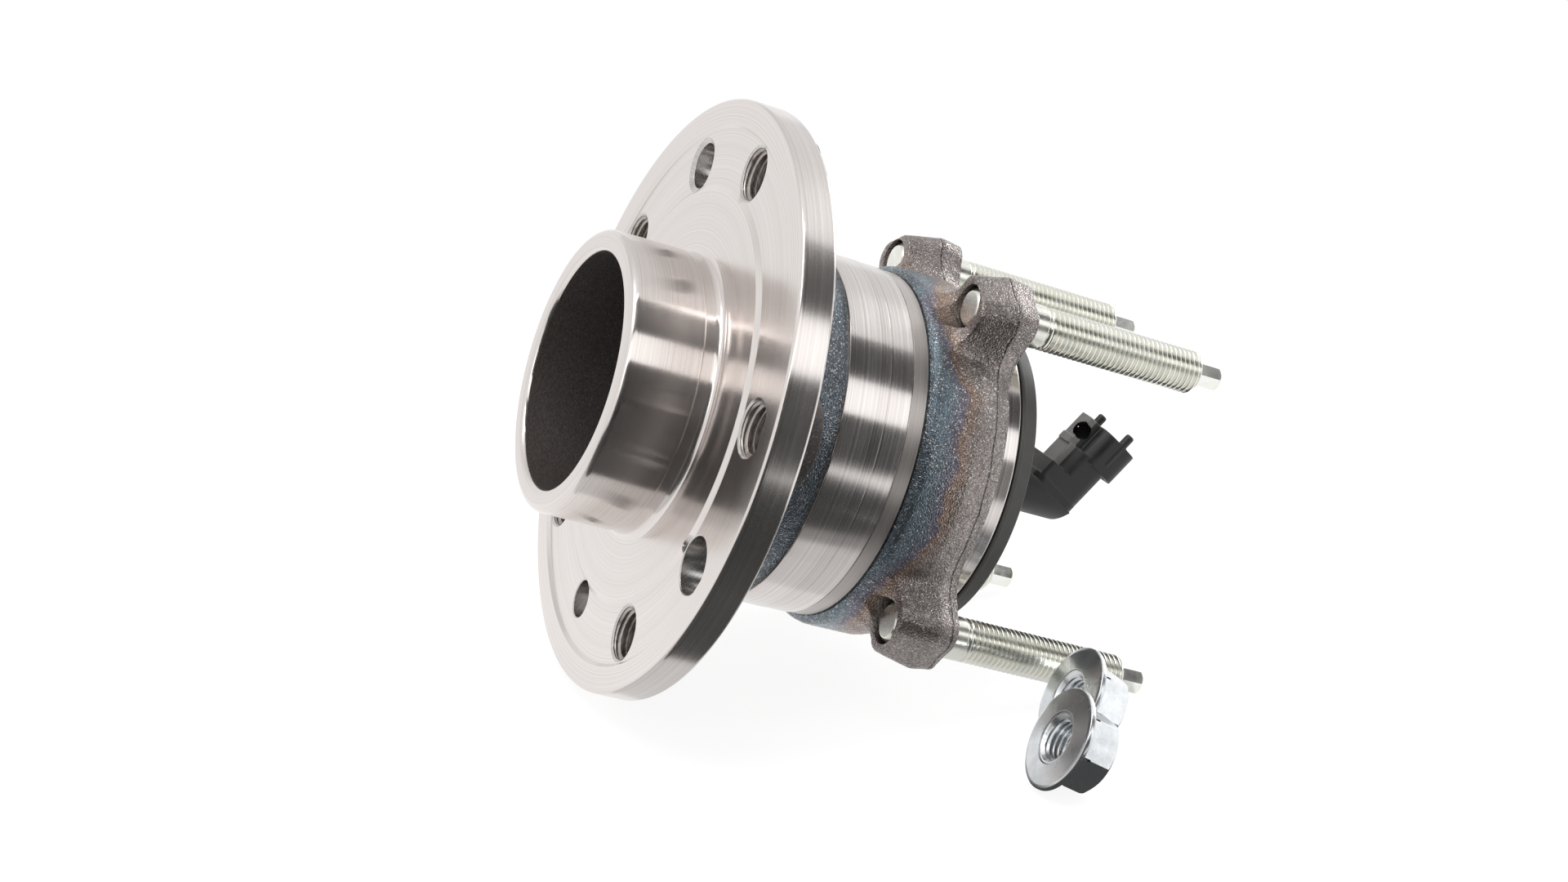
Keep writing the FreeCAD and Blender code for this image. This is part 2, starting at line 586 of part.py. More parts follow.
def make_connector():
    """Connector: collar, barrel, latch block with its eye, prongs and the socket's mouth."""
    u = BARREL_OFFSET
    collar = rounded_block(BARREL_BASE_HALF_DEPTH, BARREL_WIDTH, BARREL_START, BARREL_COLLAR_END)
    step = BARREL_COLLAR_STEP
    base = rounded_block(BARREL_BASE_HALF_DEPTH - step, BARREL_WIDTH - 2 * step,
                         BARREL_START, BARREL_BASE_END)
    back = Part.makeBox(LATCH_WIDTH, BARREL_BASE_BACK, BARREL_BASE_END - BARREL_BACK_START,
                        Vector(-LATCH_WIDTH / 2, u - BARREL_BASE_BACK, BARREL_BACK_START))
    body = rounded_block(BARREL_HALF_DEPTH, BARREL_WIDTH - 4 * step, BARREL_BASE_END - step, BARREL_BODY_END)
    mouth = rounded_block(MOUTH_HALF_DEPTH, MOUTH_WIDTH, BARREL_BODY_END, BARREL_MOUTH_END)
    post = Part.makeBox(LATCH_POST_WIDTH, BARREL_BASE_BACK, LATCH_POST_END - BARREL_BASE_END,
                        Vector(-LATCH_POST_WIDTH / 2, u - BARREL_BASE_BACK, BARREL_BASE_END))
    latch = Part.makeBox(LATCH_WIDTH, LATCH_BACK, LATCH_END - LATCH_START,
                         Vector(-LATCH_WIDTH / 2, u - LATCH_BACK, LATCH_START))
    eye = Part.makeCylinder(LATCH_HOLE_R, MOUTH_WIDTH,
                            Vector(-MOUTH_WIDTH / 2, LATCH_HOLE_U, LATCH_HOLE_HEIGHT), Vector(1, 0, 0))
    shape = collar.fuse([base, back, body, mouth, post, latch])
    for prong_u in (PRONG_NEAR_U, PRONG_FAR_U):
        start = BARREL_BODY_END + PRONG_WIDTH
        prong = Part.makeBox(PRONG_WIDTH, PRONG_WIDTH, BARREL_MOUTH_END + PRONG_LENGTH - start,
                             Vector(MOUTH_WIDTH / 2 - PRONG_WIDTH, prong_u - PRONG_WIDTH / 2, start))
        shape = shape.fuse(prong)
    socket = rounded_block(MOUTH_HALF_DEPTH - MOUTH_WALL, MOUTH_WIDTH - 2 * (MOUTH_WALL + PRONG_WIDTH),
                           MOUTH_FLOOR, BARREL_MOUTH_END + PRONG_LENGTH, SOCKET_CORNER)
    return place_barrel(shape.cut(socket).cut(eye))


def beyond_plane(y, z, degrees):
    """Large block beyond a plane through (y, z), whose outward normal is so many degrees from +Y to +Z."""
    reach = BARREL_OFFSET
    block = Part.makeBox(2 * reach, 2 * reach, reach, Vector(-reach, -reach, 0))
    block.rotate(ORIGIN, Vector(1, 0, 0), degrees - 90.0)
    block.translate(Vector(0, y, z))
    return block


def make_tower():
    """Post from the cap's floor that carries the connector, with a chamfered far corner."""
    post = cylinder(TOWER_R, CAP_FLOOR_Y - CAP_WALL / 2, BARREL_OFFSET + BARREL_START, 0.0, TOWER_Z)
    seat = place_barrel(Part.makeSphere(1.0, Vector(0, BARREL_OFFSET, BARREL_START))).CenterOfMass
    corner = beyond_plane(TOWER_CORNER_Y, TOWER_Z - TOWER_R, TOWER_CORNER_DEG - 90.0)
    return post.cut(beyond_plane(seat.y, seat.z, BARREL_TILT_DEG)).cut(corner)


def make_sensor_cap():
    """Black sensor cap: rim, ribbed floor, spigot with an O-ring groove, tower and connector."""
    spigot_inner = CAP_SPIGOT_R - CAP_WALL
    cap = turned([
        (CAP_FLOOR_Y - CAP_WALL, 0.0), (CAP_FLOOR_Y - CAP_WALL, spigot_inner), (CAP_SPIGOT_Y, spigot_inner),
        (CAP_SPIGOT_Y, CAP_SPIGOT_R - CAP_LEAD_IN), (CAP_SPIGOT_Y + CAP_LEAD_IN, CAP_SPIGOT_R),
        (O_RING_Y - O_RING_R, CAP_SPIGOT_R), (O_RING_Y - O_RING_R, REAR_BORE_R - 2 * O_RING_R),
        (O_RING_Y + O_RING_R, REAR_BORE_R - 2 * O_RING_R), (O_RING_Y + O_RING_R, CAP_SPIGOT_R),
        (CAP_FRONT_Y, CAP_SPIGOT_R), (CAP_FRONT_Y, CAP_RIM_R), (CAP_RIM_Y, CAP_RIM_BACK_R),
        (CAP_RIM_Y, CAP_RIM_BACK_R - CAP_LIP), (CAP_FLOOR_Y, CAP_RIM_BACK_R - CAP_LIP), (CAP_FLOOR_Y, 0.0)])
    rib_start_y = CAP_FLOOR_Y - CAP_WALL / 2
    rib_height = CAP_RIM_Y - CAP_RIB_SETBACK - rib_start_y
    for index in range(CAP_RIB_COUNT):
        rib = Part.makeBox(CAP_RIM_BACK_R - CAP_LIP / 2, rib_height, CAP_RIB_WIDTH,
                           Vector(0, rib_start_y, -CAP_RIB_WIDTH / 2))
        rib.rotate(ORIGIN, AXIS, index * 360.0 / CAP_RIB_COUNT)
        cap = cap.fuse(rib)
    boss = cone(CAP_HUB_R, TOWER_R, rib_start_y, CAP_HUB_END_Y, 0.0, TOWER_Z)
    cap = cap.fuse([boss, make_tower(), make_connector()])
    return cap.fuse(sensor_sleeve()).cut(sensor_block(SENSOR_FIT))


def sensor_block(grow):
    """Block of the sensor element, which faces the encoder ring across the sensing gap."""
    face_y = CARRIER_FACE_Y + CARRIER_WALL + ENCODER_WALL + SENSOR_GAP
    end_y = CAP_FLOOR_Y - CAP_WALL + SENSOR_SEAT
    return Part.makeBox(SENSOR_WIDTH + 2 * grow, end_y - face_y, SENSOR_HEIGHT + 2 * grow,
                        Vector(-SENSOR_WIDTH / 2 - grow, face_y, SENSOR_RADIUS - SENSOR_HEIGHT / 2 - grow))


def sensor_sleeve():
    """Moulded sleeve inside the cap that holds the sensor element."""
    wall = SENSOR_SLEEVE_WALL
    length = CAP_FLOOR_Y - CAP_WALL / 2 - CAP_SPIGOT_Y
    corner = Vector(-SENSOR_WIDTH / 2 - wall, CAP_SPIGOT_Y, SENSOR_RADIUS - SENSOR_HEIGHT / 2 - wall)
    return Part.makeBox(SENSOR_WIDTH + 2 * wall, length, SENSOR_HEIGHT + wall, corner)


def make_connector_pin(side):
    """Flat contact blade in the connector's socket."""
    blade = Part.makeBox(PIN_WIDTH, PIN_THICKNESS, PIN_LENGTH,
                         Vector(side * PIN_PITCH / 2 - PIN_WIDTH / 2, BARREL_OFFSET - PIN_THICKNESS / 2,
                                MOUTH_FLOOR))
    return place_barrel(blade)


def make_o_ring():
    """O-ring that seals the cap's spigot in the housing."""
    return Part.makeTorus(REAR_BORE_R - O_RING_R, O_RING_R, Vector(0, O_RING_Y, 0), AXIS)


def place_nut(shape, face_point):
    """Moves a nut part from its own frame, washer face at y = 0 towards -Y, to where it lies."""
    placed = shape.copy()
    placed.Placement = Placement(Vector(*face_point), Rotation(Vector(0, -1, 0), Vector(*NUT_AXIS)))
    return placed


def make_nut(face_point):
    """Hexagon nut with the collar that carries its captive washer."""
    top = WASHER_THICK + NUT_HEIGHT
    corner_r = NUT_FLATS / math.sqrt(3)
    shell = turned([(WASHER_THICK, 0.0), (WASHER_THICK, corner_r), (top - NUT_CORNER_CHAMFER, corner_r),
                    (top, NUT_FLATS / 2), (top, 0.0)])
    body = hexagon(NUT_FLATS, WASHER_THICK, top).common(shell)
    front = NUT_COLLAR_SETBACK
    flange_y = front + NUT_COLLAR_FLANGE
    collar = turned([(front, 0.0), (front, NUT_COLLAR_FLANGE_R), (flange_y, NUT_COLLAR_FLANGE_R),
                     (flange_y, NUT_COLLAR_R), (WASHER_THICK + 1.0, NUT_COLLAR_R), (WASHER_THICK + 1.0, 0.0)])
    nut = body.fuse(collar).cut(cylinder(NUT_BORE_R, 0.0, top))
    mouth = cone(NUT_BORE_R + NUT_BORE_CHAMFER, NUT_BORE_R, front, front + NUT_BORE_CHAMFER)
    far_mouth = cone(NUT_BORE_R, NUT_BORE_R + NUT_BORE_CHAMFER, top - NUT_BORE_CHAMFER, top)
    return place_nut(nut.cut(mouth).cut(far_mouth), face_point)


def make_washer(face_point):
    """Captive washer that turns on the nut's collar."""
    gap = WASHER_RUNNING_GAP
    back = WASHER_THICK - gap
    recess = NUT_COLLAR_SETBACK + NUT_COLLAR_FLANGE + gap
    washer = turned([
        (0.0, NUT_COLLAR_FLANGE_R + gap), (0.0, WASHER_R - WASHER_CHAMFER), (WASHER_CHAMFER, WASHER_R),
        (back - WASHER_CHAMFER, WASHER_R), (back, WASHER_R - WASHER_CHAMFER), (back, NUT_COLLAR_R + gap),
        (recess, NUT_COLLAR_R + gap), (recess, NUT_COLLAR_FLANGE_R + gap)])
    return place_nut(washer, face_point)


def build():
    """Returns every node's shape by name."""
    parts = {
        "hub": make_hub(),
        "inner_race": make_inner_race(),
        "seal_slinger": make_seal_slinger(),
        "encoder_carrier": make_encoder_carrier(),
        "encoder_ring": make_encoder_ring(),
        "outboard_balls": make_balls(OUTBOARD_ROW_Y),
        "outboard_cage": make_cage(OUTBOARD_ROW_Y, 1),
        "inboard_balls": make_balls(INBOARD_ROW_Y),
        "inboard_cage": make_cage(INBOARD_ROW_Y, -1),
        "outer_ring": make_outer_ring(),
        "seal_case": make_seal_case(),
        "seal_lips": make_seal_lips(),
        "sensor_cap": make_sensor_cap(),
        "cap_o_ring": make_o_ring(),
        "sensor_element": sensor_block(0.0),
        "connector_pin_left": make_connector_pin(-1),
        "connector_pin_right": make_connector_pin(1),
        "nut_1": make_nut(NUT_1_FACE),
        "nut_1_washer": make_washer(NUT_1_FACE),
        "nut_2": make_nut(NUT_2_FACE),
        "nut_2_washer": make_washer(NUT_2_FACE),
    }
    for name, (x, z) in stud_places().items():
        parts[name] = make_stud(x, z)
    return parts


def main():
    """Builds the model and writes one STEP file per node."""
    os.makedirs("parts", exist_ok=True)
    for name, shape in build().items():
        box = shape.BoundBox
        print(f"{name}: solids {len(shape.Solids)}, valid {shape.isValid()}, volume {shape.Volume:.1f},"
              f" y {box.YMin:.2f} to {box.YMax:.2f}")
        shape.exportStep(os.path.join("parts", name + ".step"))


main()
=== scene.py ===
"""Looks of a wheel hub bearing, built round its construction frame.

The spin axis is Y, with the wheel side towards -Y and the axle side towards +Y. Sizes are millimetres
and become the frame's metres where a mesh is made. A turned outline is a list of (y, radius, rounding)
corners, and a station is a place along Y.
"""
import logging
import math
from collections.abc import Callable, Sequence
from dataclasses import dataclass
from enum import Enum

import bmesh
import bpy
from mathutils import Matrix, Vector, noise


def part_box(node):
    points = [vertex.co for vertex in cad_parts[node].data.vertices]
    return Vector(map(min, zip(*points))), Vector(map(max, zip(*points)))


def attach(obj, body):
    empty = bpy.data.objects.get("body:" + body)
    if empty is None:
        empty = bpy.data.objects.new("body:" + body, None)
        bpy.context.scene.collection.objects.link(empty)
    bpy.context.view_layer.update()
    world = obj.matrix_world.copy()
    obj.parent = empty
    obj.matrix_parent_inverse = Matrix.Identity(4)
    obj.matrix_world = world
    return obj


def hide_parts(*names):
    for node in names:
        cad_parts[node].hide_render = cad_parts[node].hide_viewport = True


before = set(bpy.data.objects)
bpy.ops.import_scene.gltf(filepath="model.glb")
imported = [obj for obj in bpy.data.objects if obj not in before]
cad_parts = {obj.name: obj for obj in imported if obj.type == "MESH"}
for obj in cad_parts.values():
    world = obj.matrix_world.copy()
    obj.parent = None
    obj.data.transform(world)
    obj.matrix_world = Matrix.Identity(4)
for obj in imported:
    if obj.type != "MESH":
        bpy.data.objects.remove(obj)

LOG = logging.getLogger("hub_bearing")
SCALE = 0.001
FLAT_FACE_WEIGHT = 90
WEAR_START = 0.53
bpy.context.view_layer.update()

Corner = tuple[float, float, float]
Ring = tuple[float, float]
Place = tuple[float, float]
Colour = tuple[float, float, float, float]
Socket = bpy.types.NodeSocket


class Body(Enum):
    """The moving bodies that pieces ride on."""

    HOUSING = "housing"
    HUB = "hub"
    WASHER_1 = "nut_1_washer"
    WASHER_2 = "nut_2_washer"


class Slot(Enum):
    """The record's material slot names."""

    HUB_STEEL = "hub_steel"
    BEARING_STEEL = "bearing_steel"
    FORGED_STEEL = "forged_steel"
    ZINC_YELLOW = "zinc_yellow"
    ZINC_WHITE = "zinc_white"
    BLACK_PLASTIC = "black_plastic"


class Cut(Enum):
    """How one mesh works on another."""

    REMOVE = "DIFFERENCE"
    ADD = "UNION"
    KEEP_SHARED = "INTERSECT"


class HubSkin(Enum):
    """The hub's finishes, by their place among its materials."""

    FACE = 0
    RAW = 1
    HOLE = 2
    NOSE = 3
    RIM = 4


def grey(level: float, warmth: float = 0.0) -> Colour:
    """A grey of a level, with red raised and blue lowered by the warmth."""
    return (level * (1 + warmth), level, level * (1 - warmth), 1.0)


def polar(radius: float, degrees: float) -> tuple[float, float]:
    """The x and z of a point at an angle from +X towards +Z."""
    angle = math.radians(degrees)
    return radius * math.cos(angle), radius * math.sin(angle)


def smooth_step(low: float, high: float, value: float) -> float:
    """0 below low, 1 above high and a smooth rise between."""
    share = min(1.0, max(0.0, (value - low) / (high - low)))
    return share * share * (3 - 2 * share)


def node_span(node: str, axis: int) -> tuple[float, float]:
    """Lowest and highest coordinate of a frame node along an axis, in millimetres."""
    low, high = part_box(node)
    return low[axis] / SCALE, high[axis] / SCALE


def node_middle(node: str) -> tuple[float, float]:
    """The middle of a frame node, looked at along Y.

    Args:
        node: the node's name.

    Returns:
        Its x and z in millimetres.
    """
    low_x, high_x = node_span(node, 0)
    low_z, high_z = node_span(node, 2)
    return (low_x + high_x) / 2, (low_z + high_z) / 2


def new_piece(name: str, work: bmesh.types.BMesh) -> bpy.types.Object:
    """Turns a mesh in millimetres into an object in metres.

    Args:
        name: the piece's name.
        work: its mesh, which is freed.

    Returns:
        The linked object.
    """
    bmesh.ops.recalc_face_normals(work, faces=work.faces)
    bmesh.ops.scale(work, vec=(SCALE, SCALE, SCALE), verts=work.verts)
    mesh = bpy.data.meshes.new(name)
    work.to_mesh(mesh)
    work.free()
    piece = bpy.data.objects.new(name, mesh)
    bpy.context.scene.collection.objects.link(piece)
    return piece


def work_from(meshes: Sequence[bpy.types.Mesh]) -> bmesh.types.BMesh:
    """Puts meshes together as one to work on.

    Args:
        meshes: meshes in metres.

    Returns:
        The whole in millimetres.
    """
    work = bmesh.new()
    for mesh in meshes:
        work.from_mesh(mesh)
    bmesh.ops.scale(work, vec=(1 / SCALE, 1 / SCALE, 1 / SCALE), verts=work.verts)
    return work


def take_in(work: bmesh.types.BMesh, other: bmesh.types.BMesh) -> None:
    """Adds another mesh to one that is worked on.

    Args:
        work: the mesh that grows.
        other: the mesh that is added, which is freed.
    """
    mesh = bpy.data.meshes.new("taken_in")
    other.to_mesh(mesh)
    other.free()
    work.from_mesh(mesh)


def trim(work: bmesh.types.BMesh, point: Sequence[float], outward: Sequence[float]) -> None:
    """Cuts a closed mesh along a plane and closes it again.

    Args:
        work: the mesh.
        point: a point of the plane.
        outward: the plane's normal, towards what is cut off.
    """
    everything = list(work.verts) + list(work.edges) + list(work.faces)
    cut = bmesh.ops.bisect_plane(work, geom=everything, plane_co=point, plane_no=outward, clear_outer=True)
    edges = [item for item in cut["geom_cut"] if isinstance(item, bmesh.types.BMEdge)]
    bmesh.ops.holes_fill(work, edges=edges, sides=0)


def settle(piece: bpy.types.Object) -> bpy.types.Object:
    """Applies a piece's modifiers to its mesh.

    Args:
        piece: the piece, whose modifiers go.

    Returns:
        The same piece.
    """
    depsgraph = bpy.context.evaluated_depsgraph_get()
    mesh = bpy.data.meshes.new_from_object(piece.evaluated_get(depsgraph))
    piece.modifiers.clear()
    piece.data = mesh
    return piece


def soften(piece: bpy.types.Object, voxel: float, rounds: int) -> bpy.types.Object:
    """Gives a piece one closed skin with soft corners, as a mould or a die leaves it.

    Args:
        piece: the piece, whose closed meshes may overlap.
        voxel: the skin's grain in millimetres.
        rounds: how many times it is smoothed.

    Returns:
        The same piece.
    """
    skin = piece.modifiers.new("skin", "REMESH")
    skin.mode = "VOXEL"
    skin.voxel_size = voxel * SCALE
    smoothing = piece.modifiers.new("soften", "SMOOTH")
    smoothing.factor = 0.5
    smoothing.iterations = rounds
    return settle(piece)


def work_on(piece: bpy.types.Object, tool: bpy.types.Object, cut: Cut) -> bpy.types.Object:
    """Works one piece with another, which is used up.

    Args:
        piece: the piece that changes.
        tool: the closed mesh that it is worked with.
        cut: what the tool does.

    Returns:
        The changed piece.
    """
    modifier = piece.modifiers.new("work", "BOOLEAN")
    modifier.operation = cut.value
    modifier.solver = "EXACT"
    modifier.object = tool
    bpy.context.view_layer.update()
    settle(piece)
    bpy.data.objects.remove(tool)
    return piece


def joined(name: str, parts: Sequence[bpy.types.Object]) -> bpy.types.Object:
    """Puts the meshes of several objects together.

    Args:
        name: the new piece's name.
        parts: the objects, which are used up.

    Returns:
        The new piece.
    """
    work = work_from([part.data for part in parts])
    for part in parts:
        bpy.data.objects.remove(part)
    return new_piece(name, work)


def shade(piece: bpy.types.Object, sharp_deg: float = 32.0) -> bpy.types.Object:
    """Smooth shading that stays sharp at corners, with flat faces kept flat.

    Args:
        piece: the piece.
        sharp_deg: the turn from which an edge stays sharp.

    Returns:
        The same piece.
    """
    mesh = piece.data
    mesh.polygons.foreach_set("use_smooth", [True] * len(mesh.polygons))
    mesh.set_sharp_from_angle(angle=math.radians(sharp_deg))
    weights = piece.modifiers.new("face_weights", "WEIGHTED_NORMAL")
    weights.keep_sharp = True
    weights.weight = FLAT_FACE_WEIGHT
    return piece


def rounded_outline(corners: Sequence[Corner], step_deg: float = 15.0) -> list[Ring]:
    """Rounds the corners of a closed outline.

    Args:
        corners: the outline's corners with a rounding each, 0 for a sharp one.
        step_deg: the turn between two points of a rounding.

    Returns:
        The outline's (y, radius) points.
    """
    points: list[Ring] = []
    for index, (station, radius, rounding) in enumerate(corners):
        here = Vector((station, radius))
        before = Vector(corners[index - 1][:2]) - here
        after = Vector(corners[(index + 1) % len(corners)][:2]) - here
        turn = math.pi - before.angle(after)
        if rounding <= 0 or turn < math.radians(2):
            points.append((station, radius))
            continue
        setback = min(rounding * math.tan(turn / 2), 0.48 * min(before.length, after.length))
        rounding = setback / math.tan(turn / 2)
        start = here + before.normalized() * setback
        inward = (before.normalized() + after.normalized()).normalized()
        centre = here + inward * rounding / math.cos(turn / 2)
        arm = start - centre
        side = 1 if before.cross(after) < 0 else -1
        steps = max(2, math.ceil(math.degrees(turn) / step_deg))
        for step in range(steps + 1):
            angle = side * turn * step / steps
            x = arm.x * math.cos(angle) - arm.y * math.sin(angle)
            y = arm.x * math.sin(angle) + arm.y * math.cos(angle)
            points.append((centre.x + x, centre.y + y))
    return points


def arc_points(centre: Ring, radius: float, start_deg: float, end_deg: float, steps: int) -> list[Corner]:
    """Corners along an arc of an outline.

    Args:
        centre: the arc's centre, as (y, radius).
        radius: its own radius.
        start_deg: where it starts, from +Y towards the outside.
        end_deg: where it ends.
        steps: how many chords stand for it.

    Returns:
        The corners, with no rounding.
    """
    found: list[Corner] = []
    for step in range(steps + 1):
        angle = math.radians(start_deg + (end_deg - start_deg) * step / steps)
        found.append((centre[0] + radius * math.cos(angle), centre[1] + radius * math.sin(angle), 0.0))
    return found


def lathe_work(corners: Sequence[Corner], segments: int, axis: Place = (0.0, 0.0)) -> bmesh.types.BMesh:
    """Mesh turned about a line along Y from a closed outline.

    Args:
        corners: the outline, whose points at radius 0 close the ends.
        segments: steps round the line.
        axis: the line's x and z.

    Returns:
        The closed mesh in millimetres.
    """
    x, z = axis
    work = bmesh.new()
    rows: list[list[bmesh.types.BMVert]] = []
    for station, radius in rounded_outline(corners):
        if radius < 1e-5:
            rows.append([work.verts.new((x, station, z))] * segments)
            continue
        row = []
        for segment in range(segments):
            dx, dz = polar(radius, segment * 360.0 / segments)
            row.append(work.verts.new((x + dx, station, z + dz)))
        rows.append(row)
    for row, following in zip(rows, rows[1:] + rows[:1]):
        for segment in range(segments):
            after = (segment + 1) % segments
            around = [row[segment], row[after], following[after], following[segment]]
            face = [vert for index, vert in enumerate(around) if vert not in around[:index]]
            if len(face) > 2:
                work.faces.new(face)
    return work


def lathe(name: str, corners: Sequence[Corner], segments: int,
          axis: Place = (0.0, 0.0)) -> bpy.types.Object:
    """Piece turned about a line along Y, from a closed outline."""
    return new_piece(name, lathe_work(corners, segments, axis))


def bar_outline(radius: float, start: float, end: float) -> list[Corner]:
    """Outline of a plain round bar between two stations."""
    return [(start, 0.0, 0.0), (start, radius, 0.0), (end, radius, 0.0), (end, 0.0, 0.0)]


def cuboid_work(size: Sequence[float], middle: Sequence[float]) -> bmesh.types.BMesh:
    """Block with square edges.

    Args:
        size: its size along each axis.
        middle: its middle.

    Returns:
        The block in millimetres.
    """
    work = bmesh.new()
    bmesh.ops.create_cube(work, size=1.0)
    bmesh.ops.scale(work, vec=size, verts=work.verts)
    bmesh.ops.translate(work, vec=middle, verts=work.verts)
    return work


@dataclass(frozen=True)
class Thread:
    """Screw thread along Y, cut or raised on a round part."""

    minor_r: float
    major_r: float
    pitch: float
    start: float
    end: float
    rows: int = 12
    around: int = 48
    crest_share: float = 0.17
    root_share: float = 0.83
    run_out: float = 0.9

    def height(self, turn: float) -> float:
        """Share of the thread's height at a share of its pitch."""
        away = abs(2 * turn - 1)
        return 1 - min(1.0, max(0.0, (away - self.crest_share) / (self.root_share - self.crest_share)))

    def strip(self, limit: Callable[[float, float], float]) -> bmesh.types.BMesh:
        """Helical strip with its edges on the thread's crests and roots.

        Args:
            limit: gives the radius at a station from the thread's own radius there.

        Returns:
            The strip in millimetres, with an even ring at each end.
        """
        work = bmesh.new()
        turns = (self.end - self.start) / self.pitch + 1
        last = math.ceil(turns * self.rows)
        grid: dict[tuple[int, int], bmesh.types.BMVert] = {}
        for row in range(-self.rows, last + 1):
            radius = self.minor_r + (self.major_r - self.minor_r) * self.height((row / self.rows) % 1.0)
            for column in range(self.around):
                station = self.start + (row / self.rows - column / self.around) * self.pitch
                station = min(self.end, max(self.start, station))
                x, z = polar(limit(station, radius), column * 360.0 / self.around)
                grid[row, column] = work.verts.new((x, station, z))
        for row in range(0, last):
            for column in range(self.around):
                near, far = grid[row, column], grid[row + 1, column]
                if column + 1 < self.around:
                    work.faces.new((near, grid[row, column + 1], grid[row + 1, column + 1], far))
                else:
                    work.faces.new((near, grid[row - self.rows, 0], grid[row + 1 - self.rows, 0], far))
        loose = [vert for vert in work.verts if not vert.link_faces]
        bmesh.ops.delete(work, geom=loose, context="VERTS")
        bmesh.ops.remove_doubles(work, verts=work.verts, dist=1e-5)
        bmesh.ops.dissolve_degenerate(work, dist=1e-6, edges=work.edges)
        return work

    def raised(self, end_chamfer: float) -> bmesh.types.BMesh:
        """Outside thread that runs out of a plain collar.

        Args:
            end_chamfer: the chamfer at its far end.

        Returns:
            The closed thread in millimetres.
        """
        def limit(station: float, radius: float) -> float:
            """The radius, full at the collar and cut down at the far end.

            Args:
                station: the place along Y.
                radius: the thread's own radius there.

            Returns:
                The radius in millimetres.
            """
            share = smooth_step(self.start, self.start + self.run_out * self.pitch, station)
            radius = self.major_r + (radius - self.major_r) * share
            return min(radius, self.major_r - end_chamfer + self.end - station)

        work = self.strip(limit)
        open_edges = [edge for edge in work.edges if edge.is_boundary]
        bmesh.ops.holes_fill(work, edges=open_edges, sides=0)
        return work

    def tapped(self, bore_r: float) -> bmesh.types.BMesh:
        """Inside thread as a sleeve in a plain bore, with a chamfer at each mouth.

        Args:
            bore_r: the bore's radius.

        Returns:
            The closed sleeve in millimetres.
        """
        def limit(station: float, radius: float) -> float:
            """The radius turned inside out, and opened at the mouths.

            Args:
                station: the place along Y.
                radius: the thread's own radius there.

            Returns:
                The radius in millimetres.
            """
            nearest = min(station - self.start, self.end - station)
            own = self.major_r + self.minor_r - radius
            return max(own, bore_r - nearest)

        work = self.strip(limit)
        open_edges = [edge for edge in work.edges if edge.is_boundary]
        bmesh.ops.bridge_loops(work, edges=open_edges)
        return work


def carried(work: bmesh.types.BMesh, axis: Place) -> bmesh.types.BMesh:
    """Moves a mesh from the Y axis to a line beside it."""
    bmesh.ops.translate(work, vec=(axis[0], 0, axis[1]), verts=work.verts)
    return work


def hexagon_work(flats: float, start: float, end: float, turn_deg: float = 0.0) -> bmesh.types.BMesh:
    """Hexagonal bar along Y.

    Args:
        flats: its width across flats.
        start: the station of one end.
        end: the station of the other.
        turn_deg: where its first corner points, from +X towards +Z.

    Returns:
        The bar in millimetres.
    """
    work = bmesh.new()
    ends = []
    for station in (start, end):
        ring = []
        for index in range(6):
            x, z = polar(flats / math.sqrt(3), turn_deg + 60.0 * index)
            ring.append(work.verts.new((x, station, z)))
        ends.append(ring)
        work.faces.new(ring)
    for index in range(6):
        after = (index + 1) % 6
        work.faces.new((ends[0][index], ends[0][after], ends[1][after], ends[1][index]))
    return work


